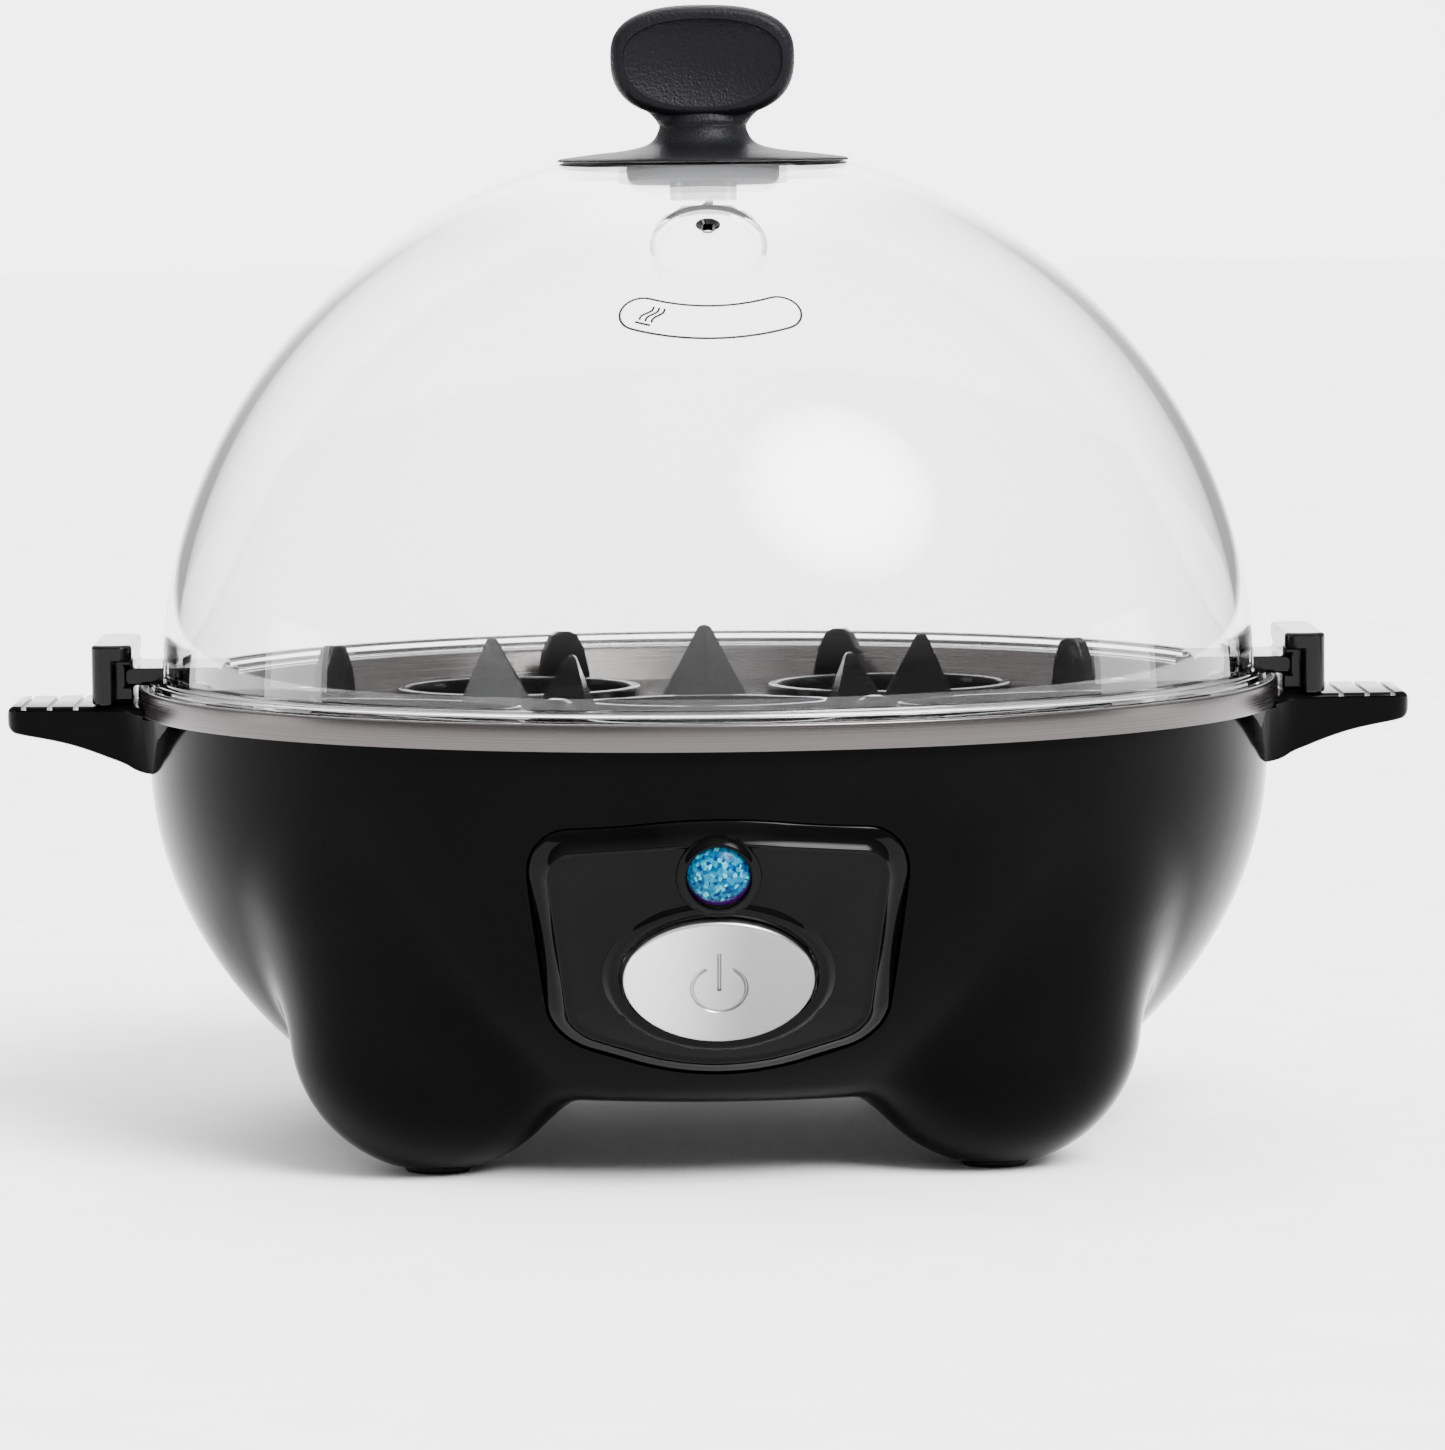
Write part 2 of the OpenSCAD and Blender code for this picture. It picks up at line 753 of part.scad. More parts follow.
module indicator_lamp() {
    color([0.6, 0.85, 0.95])
        on_lens() {
            bar(lamp_d, -9, -2.6);
            bar(0.8, -11.5, -8.9);
        }
}

module button_guide() {
    color([0.8, 0.8, 0.78])
        on_panel()
            difference() {
                union() {
                    bar(guide_d + 1.3, bracket_w, bracket_w + 3);
                    bar(guide_d, switch_top, bracket_w + 1);
                }
                bar(stem_d + 2 * fit, switch_top - 1, bracket_w + 4);
            }
}

// Points of a ring of wire at one place on a helix
function helix_ring(r, wire_r, pitch, turns, t, sides) =
    let (a = 360 * turns * t, lean = atan2(pitch, 2 * PI * r))
    [for (k = [0:sides - 1])
        let (b = 360 * k / sides, out = wire_r * cos(b), up = wire_r * sin(b))
        [(r + out) * cos(a) + up * sin(lean) * sin(a),
         (r + out) * sin(a) - up * sin(lean) * cos(a),
         pitch * turns * t + up * cos(lean)]];

// A tube through rings of points, closed at both ends
module tube_of(rings) {
    n = len(rings);
    sides = len(rings[0]);
    polyhedron(
        points = [for (ring = rings) each ring],
        faces = concat(
            [[for (k = [0:sides - 1]) k]],
            [for (i = [0:n - 2], k = [0:sides - 1])
                let (next = (k + 1) % sides)
                [i * sides + k, (i + 1) * sides + k, (i + 1) * sides + next, i * sides + next]],
            [[for (k = [sides - 1:-1:0]) (n - 1) * sides + k]]
        )
    );
}

module button_spring() {
    wire_r = 0.4;
    coil_r = 4.8;
    turns = 4;
    low = bracket_w + wire_r + 0.15;
    high = cap_under - wire_r - 0.15;
    steps = turns * 16;
    color(screw_colour)
        on_panel() translate([0, 0, low])
            tube_of([for (i = [0:steps])
                helix_ring(coil_r, wire_r, (high - low) / turns, turns, i / steps, 6)]);
}

module switch_bracket() {
    color([0.7, 0.71, 0.73])
        on_panel()
            difference() {
                block([-22, -9, bracket_w - bracket_t], [22, 9, bracket_w]);
                bar(guide_d + 0.1, bracket_w - 3, bracket_w + 1);
                mirrored_x() translate([bracket_screw_x, 0, 0])
                    bar(screw_hole_d + 0.2, bracket_w - 3, bracket_w + 1);
            }
}

module bracket_screws() {
    color(screw_colour)
        on_panel()
            mirrored_x() translate([bracket_screw_x, 0, 0]) {
                bar(screw_d, switch_top - 1, -4.4);
                bar(4.8, switch_top - 1.8, switch_top);
            }
}

module power_switch() {
    lug_x = 3;
    lug_t = 0.8;
    switch_low = switch_top - switch_depth;
    color([0.93, 0.93, 0.9])
        on_panel()
            difference() {
                union() {
                    block([-6.5, -5, switch_low], [6.5, 5, switch_top]);
                    mirrored_x()
                        block([lug_x - lug_t / 2, -1.5, switch_low - 3],
                              [lug_x + lug_t / 2, 1.5, switch_low + 1]);
                }
                bar(stem_d + 0.8, switch_top - button_travel - 0.6, switch_top + 1);
                bar(plunger_d + 2 * fit, switch_top - plunger_depth - button_travel - 0.3, switch_top + 1);
            }
}

// The pan as one sheet: floor, wall, tray step, wall, lid ledge and the bright rim band
module heating_pan() {
    color([0.8, 0.8, 0.8])
        rotate_extrude()
            polygon(concat(
                [
                    [0, pan_floor_z - sheet],
                    [pan_floor_r + 0.6, pan_floor_z - sheet],
                    [step_inner_r + sheet, step_z - sheet],
                    [step_outer_r + sheet, step_z - sheet],
                    [ledge_inner_r + sheet, ledge_z - sheet],
                    [rim_r - sheet, ledge_z - sheet],
                    [rim_r - sheet, rim_bottom_z],
                    [rim_r, rim_bottom_z]
                ],
                arc_points([rim_r - lip_round, rim_top_z - lip_round], lip_round, 0, 90, 4),
                arc_points([rim_r - sheet + lip_round, rim_top_z - lip_round], lip_round, 90, 180, 4),
                [
                    [rim_r - sheet, ledge_z],
                    [ledge_inner_r, ledge_z],
                    [step_outer_r, step_z],
                    [step_inner_r, step_z],
                    [pan_floor_r, pan_floor_z],
                    [0, pan_floor_z]
                ]
            ));
}

module pan_gasket() {
    color([0.5, 0.5, 0.5])
        difference() {
            bar(2 * bowl_r - 0.2, bowl_top_z, bowl_top_z + gasket_t);
            bar(2 * (bowl_r - wall) + 0.2, bowl_top_z - 1, bowl_top_z + 2);
        }
}

module heat_spreader() {
    color([0.82, 0.83, 0.85]) bar(2 * spreader_r, spreader_z, spreader_z + spreader_t);
}

// One turned-down end of the element, with its terminal pin
module element_end() {
    sphere(d = element_d + 0.6);
    bar(element_d - 0.4, -10, 0);
    bar(2.4, -14, -9);
}

// Ring element with its gap at the back and two ends turned down through the shield
module heating_element() {
    color([0.55, 0.55, 0.57])
        translate([0, 0, element_z]) {
            rotate([0, 0, 90 + element_gap_a])
                rotate_extrude(angle = 360 - 2 * element_gap_a)
                    translate([element_r, 0]) circle(d = element_d);
            for (side = [-1, 1])
                rotate([0, 0, 90 + side * element_gap_a]) translate([element_r, 0, -0.35])
                    element_end();
        }
}

// Threaded posts welded under the pan
module pan_posts() {
    color([0.6, 0.6, 0.62])
        around(foot_angles) translate([foot_ring_r, 0, 0])
            difference() {
                bar(post_d, post_z, pan_floor_z - sheet);
                bar(pan_screw_d + 0.1, post_z - 1, post_z + 9);
            }
}

module pan_screws() {
    color(screw_colour)
        around(foot_angles) translate([foot_ring_r, 0, 0]) {
            bar(pan_screw_d, pillar_seat_z - 1, post_z + 7);
            bar(2 * pan_screw_d, pillar_seat_z - 2.6, pillar_seat_z);
        }
}

module heat_shield() {
    element_hole_d = 10;
    lead_hole_d = 12;
    switch_notch = [[-11, -shield_r - 1], [11, -48]];
    color([0.8, 0.81, 0.83])
        difference() {
            bar(2 * shield_r, shield_z, shield_z + shield_t);
            around(foot_angles) translate([foot_ring_r, 0, 0])
                bar(pan_screw_hole_d, shield_z - 1, shield_z + 2);
            for (side = [-1, 1])
                rotate([0, 0, 90 + side * element_gap_a]) translate([element_r, 0, 0])
                    bar(element_hole_d, shield_z - 1, shield_z + 2);
            block([each switch_notch[0], shield_z - 1], [each switch_notch[1], shield_z + 2]);
            bar(lead_hole_d, shield_z - 1, shield_z + 2);
        }
}

module thermostat() {
    body_d = 15;
    color([0.2, 0.18, 0.16])
        union() {
            bar(body_d, spreader_z - thermostat_h, spreader_z);
            mirrored_x()
                block([2, -2, spreader_z - thermostat_h - 5], [2.8, 2, spreader_z - thermostat_h + 0.5]);
        }
}

// Spring strap that holds the thermostat against the spreader
module thermostat_clip() {
    strip_t = 0.8;
    half_w = 5.5;
    side_x = 10;
    foot_x = 17;
    low = spreader_z - thermostat_h - strip_t;
    color([0.7, 0.7, 0.72])
        difference() {
            union() {
                block([-side_x - strip_t, -half_w, low], [side_x + strip_t, half_w, low + strip_t]);
                mirrored_x() {
                    block([side_x, -half_w, low], [side_x + strip_t, half_w, spreader_z]);
                    block([side_x, -half_w, spreader_z - strip_t], [foot_x, half_w, spreader_z]);
                }
            }
            bar(7.4, low - 1, low + 2);
        }
}

module fuse_axis() {
    translate([0, fuse_y, spreader_z - 3]) rotate([0, 90, 0]) children();
}

module thermal_fuse() {
    color([0.85, 0.82, 0.7])
        fuse_axis() {
            bar(fuse_d, -5.5, 5.5);
            bar(1, -11, 11);
        }
}

module fuse_clip() {
    color([0.7, 0.7, 0.72])
        difference() {
            translate([0, fuse_y, 0]) block([-2, -4, spreader_z - 5.8], [2, 4, spreader_z]);
            fuse_axis() bar(fuse_d + 0.1, -5, 5);
        }
}

module terminal_block() {
    size = [block_w, block_h, block_h];
    color([0.92, 0.92, 0.88])
        translate([-size[0] / 2, 40, floor_z + wall])
            difference() {
                cube(size);
                for (x = lead_x) {
                    translate([x + size[0] / 2, size[1] / 2, 3]) cylinder(d = 3, h = size[2]);
                    translate([x + size[0] / 2, -1, size[2] / 2]) rotate([-90, 0, 0])
                        cylinder(d = 2.4, h = size[1] + 2);
                }
            }
}

module buzzer() {
    low = floor_z + cover_t;
    buzzer_h = 7.5;
    color([0.12, 0.12, 0.12])
        translate([-13, 6, 0])
            difference() {
                bar(14, low, low + buzzer_h);
                bar(2.2, low + buzzer_h - 2.5, low + buzzer_h + 1);
            }
}

// A smooth curve through hand-placed points (Catmull-Rom), a few steps to each stretch
function curve_at(p, i, t) =
    let (
        a = p[max(i - 1, 0)], b = p[i], c = p[i + 1], d = p[min(i + 2, len(p) - 1)]
    )
    0.5 * (2 * b + (c - a) * t + (2 * a - 5 * b + 4 * c - d) * t * t + (3 * b - a - 3 * c + d) * t * t * t);

function curve_points(p, steps) = concat(
    [for (i = [0:len(p) - 2], k = [0:steps - 1]) curve_at(p, i, k / steps)],
    [p[len(p) - 1]]
);

// Ring of points around a wire, square to its run from prev to next
function wire_ring(here, prev, next, r, sides) =
    let (
        along = (next - prev) / norm(next - prev),
        guide = abs(along[2]) > 0.9 ? [1, 0, 0] : [0, 0, 1],
        side = cross(along, guide) / norm(cross(along, guide)),
        up = cross(side, along)
    )
    [for (k = [0:sides - 1]) let (a = -360 * k / sides) here + r * (cos(a) * side + sin(a) * up)];

module wire(points, r) {
    path = curve_points(points, 3);
    last = len(path) - 1;
    tube_of([for (i = [0:last]) wire_ring(path[i], path[max(i - 1, 0)], path[min(i + 1, last)], r, 8)]);
}

// Leads inside the housing: block to element, block to thermostat, and switch to block
module wires() {
    wire_r = 0.9;
    color([0.75, 0.1, 0.08]) {
        for (side = [-1, 1])
            wire([[side * 7.5, 42.5, lead_z], [side * 7.5, 38.5, lead_z], [side * 11.5, 35.5, 18],
                  [side * 16, 33.5, 19], [side * 19, 33, 23.5], [side * 19, 32.9, 27.9]], wire_r);
        wire([[-2.5, 42.5, lead_z], [-2.5, 38, lead_z], [-5.5, 33, 20], [-5, 24, 22], [4, 10, 23],
              [3, 1, 28], [2.4, 0, 32.6]], wire_r);
        wire([[2.5, 42.5, lead_z], [2.5, 38, lead_z], [7, 30, 19], [12, 0, 20], [9, -30, 23],
              [4, -46, 27], [3, -52, 32], [3, -52.3, 38], [3, -54.6, 39.9]], wire_r);
    }
}

module cord_inlet() {
    color([0.06, 0.06, 0.065])
        inlet_frame()
            difference() {
                union() {
                    bar(inlet_d, inlet_start_y, inlet_face_y);
                    bar(inlet_d + 4.4, inlet_face_y, inlet_face_y + 1.4);
                    bar(inlet_d + 2.4, inlet_face_y + 1.3, inlet_face_y + 2);
                    bar(inlet_d + 2, inlet_start_y, inlet_start_y + 2);
                }
                bar(cord_hole_d, inlet_start_y - 1, inlet_face_y + 3);
            }
}

module bottom_cover() {
    slot_count = 8;
    slot_r = [9, 22];
    slot_w = 2.2;
    color([0.05, 0.05, 0.055])
        difference() {
            bar(2 * cover_r, floor_z, floor_z + cover_t);
            around(cross_angles) translate([cover_screw_r, 0, 0]) {
                bar(screw_hole_d + 0.3, floor_z - 1, floor_z + 4);
                bar(cover_head_d + 0.2, floor_z - 1, floor_z + cover_head_h);
            }
            for (i = [0:slot_count - 1])
                rotate([0, 0, (i + 0.5) * 360 / slot_count])
                    block([slot_r[0], -slot_w / 2, floor_z - 1], [slot_r[1], slot_w / 2, floor_z + 3]);
        }
}

module cover_screws() {
    color(screw_colour)
        around(cross_angles) translate([cover_screw_r, 0, 0]) {
            bar(screw_d, floor_z + 1, floor_z + cover_boss_h - 2);
            bar(cover_head_d, floor_z + 0.1, floor_z + cover_head_h);
        }
}

module foot_pads() {
    color([0.1, 0.1, 0.1])
        around(foot_angles) translate([foot_ring_r, 0, 0])
            rotate_extrude()
                polygon([[0, 0], [pad_d / 2 - 0.5, 0], [pad_d / 2, 0.5], [pad_d / 2, pad_h], [0, pad_h]]);
}

lid_dome();
lid_knob();
knob_washer();
knob_screw();
egg_tray();
power_button();
button_stem();
switch_plunger();
base_body();
handle_left();
handle_right();
handle_screws();
control_panel();
indicator_lens();
indicator_lamp();
button_guide();
button_spring();
switch_bracket();
bracket_screws();
power_switch();
heating_pan();
pan_gasket();
heat_spreader();
heating_element();
pan_posts();
pan_screws();
heat_shield();
thermostat();
thermostat_clip();
thermal_fuse();
fuse_clip();
terminal_block();
buzzer();
wires();
cord_inlet();
bottom_cover();
cover_screws();
foot_pads();
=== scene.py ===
"""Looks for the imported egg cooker. Outlines are in millimetres in the part's own frame: +Z up, the
control panel faces -Y, the origin is on the table under the lid's axis."""

import json
import math

import bmesh
import bpy
import numpy as np
from mathutils import Matrix, Vector


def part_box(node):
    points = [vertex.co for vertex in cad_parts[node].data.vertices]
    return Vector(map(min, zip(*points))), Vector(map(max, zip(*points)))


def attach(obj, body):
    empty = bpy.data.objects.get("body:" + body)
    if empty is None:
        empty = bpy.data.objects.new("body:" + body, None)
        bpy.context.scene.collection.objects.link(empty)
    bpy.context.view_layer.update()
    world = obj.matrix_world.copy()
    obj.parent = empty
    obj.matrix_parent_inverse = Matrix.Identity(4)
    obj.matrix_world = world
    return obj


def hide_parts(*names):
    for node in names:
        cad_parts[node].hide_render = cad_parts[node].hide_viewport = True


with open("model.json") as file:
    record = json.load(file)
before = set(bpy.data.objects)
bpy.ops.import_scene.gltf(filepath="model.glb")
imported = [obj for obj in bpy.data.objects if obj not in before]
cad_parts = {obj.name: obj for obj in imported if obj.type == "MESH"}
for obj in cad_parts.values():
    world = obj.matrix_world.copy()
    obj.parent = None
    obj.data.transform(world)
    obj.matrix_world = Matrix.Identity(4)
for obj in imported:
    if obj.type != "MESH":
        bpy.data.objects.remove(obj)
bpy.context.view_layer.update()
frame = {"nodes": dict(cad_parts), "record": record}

MM = 0.001
TURN = 2 * math.pi


# ---------------------------------------------------------------- sizes, from the frame

def box_mm(node):
    """Lowest and highest corner of a CAD node, in millimetres."""
    low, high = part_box(node)
    return low / MM, high / MM


BASE_LOW, BASE_HIGH = box_mm("base_body")
PAN_LOW, PAN_HIGH = box_mm("heating_pan")
DOME_LOW, DOME_HIGH = box_mm("lid_dome")
COVER_LOW, COVER_HIGH = box_mm("bottom_cover")
TRAY_LOW = box_mm("egg_tray")[0]
KNOB_HIGH = box_mm("lid_knob")[1]
HANDLE_HIGH = box_mm("handle_right")[1]
INLET_HIGH = box_mm("cord_inlet")[1]

BOWL_R = PAN_HIGH.x - 1.6
BOWL_TOP = BASE_HIGH.z
BOWL_WIDE_Z = BOWL_TOP - 8.1
BOWL_DEPTH = 61.8
FLOOR_Z = COVER_LOW.z
FLOOR_ROUND = 3.0
COVER_SEAT_R = COVER_HIGH.x + 0.15
WALL = 2.4
FOOT_RING_R = 54.4
FOOT_LOW_R = 20.4
FOOT_HIGH_R = 19.5
FOOT_LEAN = 4.1
FOOT_RISE = 17.6
FOOT_FLAT_Z = BASE_LOW.z
FOOT_BLEND = 5.0
SOLE_ROUND = 0.6
RIM_R = PAN_HIGH.x
RIM_TOP = PAN_HIGH.z
RIM_H = 3.7
LEDGE_Z = RIM_TOP - 0.8
DOME_R = BOWL_R - 1.7
DOME_TOP = DOME_HIGH.z
DOME_H = DOME_TOP - RIM_TOP + 1.7
DOME_WALL = 2.0
VENT_R = 44.0
VENT_W, VENT_L = 16.4, 20.4
VENT_HOLE_UP = 5.0
PANEL_TILT = math.radians(28)
PANEL_Z = 30.0
LENS_TILT = math.radians(13)
LENS_Z = 44.6
LENS_R = 4.2
LENS_SEAT_R = 4.3
BUTTON_W = 25.7
BUTTON_H = 19.3
BUTTON_GAP = 0.45
PADDLE_HALF_W = 13.05
PADDLE_WIDE_Z = KNOB_HIGH.z - 7.3
KNOB_FLANGE_R = KNOB_HIGH.x
TIP_HALF_W = 10.5
ROOT_HALF_W = 33.0
NECK_HALF_W = 11.6
ROOT_Z = 52.7
INLET_Z = 25.0
HALVINGS = 18  # steps of each search for a surface

# the camera, in millimetres and degrees
EYE = (-15.3, -1034, 144.9)
AIM = (2.0, 0, 58.1)
FOCAL_LENGTH = 180.2
ROLL = -0.55

# strengths of the surround: before and behind the object, the share left at its sides, overhead, key
WORLD_FRONT, WORLD_BACK, WORLD_SIDE, WORLD_UP, WORLD_KEY = 0.9, 4.9, 0.12, 2.3, 58.0
KEY_FROM = (0.42, -0.6, 0.68)


# ---------------------------------------------------------------- building meshes

def piece_from(name, points, faces, smooth_angle=35):
    """A mesh object from points in millimetres, its normals outward, smooth up to an angle."""
    mesh = bpy.data.meshes.new(name)
    mesh.from_pydata((np.asarray(points, float) * MM).tolist(), [], faces)
    tidy(mesh, smooth_angle)
    piece = bpy.data.objects.new(name, mesh)
    bpy.context.scene.collection.objects.link(piece)
    return piece


def tidy(mesh, smooth_angle):
    """Merges doubled points, turns the normals outward and shades the mesh smooth up to an angle."""
    work = bmesh.new()
    work.from_mesh(mesh)
    bmesh.ops.remove_doubles(work, verts=work.verts, dist=1e-7)
    bmesh.ops.recalc_face_normals(work, faces=work.faces)
    work.to_mesh(mesh)
    work.free()
    mesh.polygons.foreach_set("use_smooth", [True] * len(mesh.polygons))
    mesh.set_sharp_from_angle(angle=math.radians(smooth_angle))


def through_rings(name, rings, joined=False, smooth_angle=35):
    """A skin through closed rings that have the same number of points; its ends are capped or joined."""
    count, around = len(rings), len(rings[0])
    points = np.concatenate([np.asarray(r, float) for r in rings])
    faces = []
    for i in range(count if joined else count - 1):
        low, high = i * around, (i + 1) % count * around
        for k in range(around):
            after = (k + 1) % around
            faces.append((low + k, low + after, high + after, high + k))
    if not joined:
        faces.append(tuple(range(around)))
        faces.append(tuple(range((count - 1) * around, count * around)))
    return piece_from(name, points, faces, smooth_angle)


def lathe(name, outline, steps=192, smooth_angle=35):
    """A closed outline of (radius, height) turned round the Z axis."""
    rings = []
    for r, z in outline:
        angles = np.arange(steps) * TURN / steps
        rings.append(np.stack([r * np.cos(angles), r * np.sin(angles), np.full(steps, z)], 1))
    return through_rings(name, rings, joined=True, smooth_angle=smooth_angle)


def arc(cx, cy, r, start, end, steps):
    """Points of an arc, with angles in degrees."""
    angles = np.radians(np.linspace(start, end, steps + 1))
    return [(cx + r * math.cos(a), cy + r * math.sin(a)) for a in angles]


def rounded(corners, grow=0.0, steps=8):
    """A convex outline given as (x, y, corner radius), counter-clockwise, grown by a margin."""
    points = []
    for i, (x, y, r) in enumerate(corners):
        here = Vector((x, y))
        u = (Vector(corners[i - 1][:2]) - here).normalized()
        v = (Vector(corners[(i + 1) % len(corners)][:2]) - here).normalized()
        half = u.angle(v) / 2
        bisector = (u + v).normalized()
        centre = here + bisector * r / math.sin(half)
        out = math.degrees(math.atan2(-bisector.y, -bisector.x))
        sweep = 90 - math.degrees(half)
        points += arc(centre.x, centre.y, r + grow, out - sweep, out + sweep, steps)
    return points


def through(corners, steps=6):
    """A smooth open curve through a few points (Catmull-Rom)."""
    spots = [Vector(c) for c in corners]
    points = []
    for i in range(len(spots) - 1):
        a, b, c, d = spots[max(i - 1, 0)], spots[i], spots[i + 1], spots[min(i + 2, len(spots) - 1)]
        for t in (k / steps for k in range(steps)):
            square, cube = t * t, t * t * t
            bend = (2 * a - 5 * b + 4 * c - d) * square + (3 * b - a - 3 * c + d) * cube
            points.append(tuple((2 * b + (c - a) * t + bend) / 2))
    return points + [tuple(spots[-1])]


def oval(rx, up, down, power, steps=96):
    """A closed oval, squarer than an ellipse for powers over 2, with its own height above and below."""
    points = []
    for i in range(steps):
        c, s = math.cos(TURN * i / steps), math.sin(TURN * i / steps)
        x = rx * math.copysign(abs(c) ** (2 / power), c)
        points.append((x, (up if s > 0 else down) * math.copysign(abs(s) ** (2 / power), s)))
    return points


def ellipse(rx, ry, steps=96):
    return [(rx * math.cos(TURN * i / steps), ry * math.sin(TURN * i / steps)) for i in range(steps)]


def at_height(outline, z):
    return [(x, y, z) for x, y in outline]


def place(piece, matrix):
    """Moves a piece's mesh by a matrix whose shift is in millimetres."""
    shift = Matrix.Translation(matrix.translation * MM)
    piece.data.transform(shift @ matrix.to_3x3().to_4x4())
    return piece


def carve(piece, *cutters, operation="DIFFERENCE", smooth_angle=35):
    """Cuts shapes out of a piece for good, and removes the shapes."""
    for cutter in cutters:
        change = piece.modifiers.new("carve", "BOOLEAN")
        change.operation = operation
        change.solver = "EXACT"
        change.object = cutter
    graph = bpy.context.evaluated_depsgraph_get()
    mesh = bpy.data.meshes.new_from_object(piece.evaluated_get(graph))
    piece.modifiers.clear()
    piece.data = mesh
    for cutter in cutters:
        bpy.data.objects.remove(cutter)
    tidy(mesh, smooth_angle)
    return piece


def soften(piece, width, segments=3, angle=40, clamp=True):
    """Welds a piece's doubled points and rounds its sharp edges, with modifiers."""
    weld = piece.modifiers.new("weld", "WELD")
    weld.merge_threshold = 1e-5
    bevel = piece.modifiers.new("round", "BEVEL")
    bevel.width = width * MM
    bevel.segments = segments
    bevel.limit_method = "ANGLE"
    bevel.angle_limit = math.radians(angle)
    bevel.use_clamp_overlap = clamp
    return piece


# ---------------------------------------------------------------- materials

def shader_of(name):
    """A new material with its node tree, its Principled shader and its object coordinates."""
    material = bpy.data.materials.new(name)
    material.use_nodes = True
    tree = material.node_tree
    return material, tree, tree.nodes["Principled BSDF"], tree.nodes.new("ShaderNodeTexCoord")


def set_sockets(shader, **values):
    for name, value in values.items():
        shader.inputs[name.replace("_", " ")].default_value = value


def noise(tree, coords, scale, detail=3.0, stretch=(1, 1, 1)):
    """A 0-1 noise in object space; each axis is made finer by its own factor in stretch."""
    mapping = tree.nodes.new("ShaderNodeMapping")
    mapping.inputs["Scale"].default_value = stretch
    texture = tree.nodes.new("ShaderNodeTexNoise")
    texture.inputs["Scale"].default_value = scale
    texture.inputs["Detail"].default_value = detail
    tree.links.new(coords.outputs["Object"], mapping.inputs["Vector"])
    tree.links.new(mapping.outputs["Vector"], texture.inputs["Vector"])
    return texture.outputs["Fac"]


def remap(tree, value, low, high, to_low=0.0, to_high=1.0, smooth=False):
    """Maps a value from one range to another, and keeps it inside the second."""
    node = tree.nodes.new("ShaderNodeMapRange")
    if smooth:
        node.interpolation_type = "SMOOTHSTEP"
    ends = {"From Min": low, "From Max": high, "To Min": to_low, "To Max": to_high}
    for name, end in ends.items():
        node.inputs[name].default_value = end
    tree.links.new(value, node.inputs["Value"])
    return node.outputs["Result"]


def spread(tree, value, low, high):
    """Maps a 0-1 value to a range."""
    return remap(tree, value, 0, 1, low, high)


def calculate(tree, operation, *values):
    """A maths operation on the outputs of other nodes."""
    node = tree.nodes.new("ShaderNodeMath")
    node.operation = operation
    for socket, value in zip(node.inputs, values):
        tree.links.new(value, socket)
    return node.outputs["Value"]


def two_tone(tree, value, first, second):
    """Mixes two colours by a 0-1 value; the first may also be the output of another mix."""
    mix = tree.nodes.new("ShaderNodeMix")
    mix.data_type = "RGBA"
    if isinstance(first, tuple):
        mix.inputs["A"].default_value = (*first, 1)
    else:
        tree.links.new(first, mix.inputs["A"])
    mix.inputs["B"].default_value = (*second, 1)
    tree.links.new(value, mix.inputs["Factor"])
    return mix.outputs["Result"]


def bump(tree, shader, height, distance, strength=1.0):
    node = tree.nodes.new("ShaderNodeBump")
    node.inputs["Distance"].default_value = distance * MM
    node.inputs["Strength"].default_value = strength
    tree.links.new(height, node.inputs["Height"])
    tree.links.new(node.outputs["Normal"], shader.inputs["Normal"])


def plastic(name, colour, roughness, vary=0.03, grain=0.0, grain_scale=2500, gleam=0.5):
    """Moulded plastic or rubber: a plain colour, uneven gloss and, where asked for, a fine grain."""
    material, tree, shader, coords = shader_of(name)
    set_sockets(shader, IOR=1.49, Specular_IOR_Level=gleam)
    patches = noise(tree, coords, 60)
    lighter = tuple(min(1.0, c * 1.15 + 0.001) for c in colour)
    tree.links.new(two_tone(tree, patches, colour, lighter), shader.inputs["Base Color"])
    tree.links.new(spread(tree, patches, roughness - vary, roughness + vary), shader.inputs["Roughness"])
    if grain:
        bump(tree, shader, noise(tree, coords, grain_scale, 2.0), grain)
    return material


def metal(name, colour, roughness, stretch=(1, 1, 1), scale=900, depth=0.004, contrast=0.14):
    """Metal with a drawn or rolled grain."""
    material, tree, shader, coords = shader_of(name)
    set_sockets(shader, Metallic=1.0)
    streaks = noise(tree, coords, scale, 4.0, stretch)
    darker = tuple(c * (1 - contrast) for c in colour)
    tree.links.new(two_tone(tree, streaks, darker, colour), shader.inputs["Base Color"])
    tree.links.new(spread(tree, streaks, roughness - 0.05, roughness + 0.05), shader.inputs["Roughness"])
    bump(tree, shader, streaks, depth)
    return material


def clear_plastic():
    """Polished clear plastic of the dome."""
    material, tree, shader, coords = shader_of("clear_plastic")
    set_sockets(shader, Transmission_Weight=1.0, IOR=1.49, Base_Color=(0.985, 0.99, 0.995, 1))
    ripple = noise(tree, coords, 30, 2.0)
    tree.links.new(spread(tree, ripple, 0.0, 0.02), shader.inputs["Roughness"])
    return material


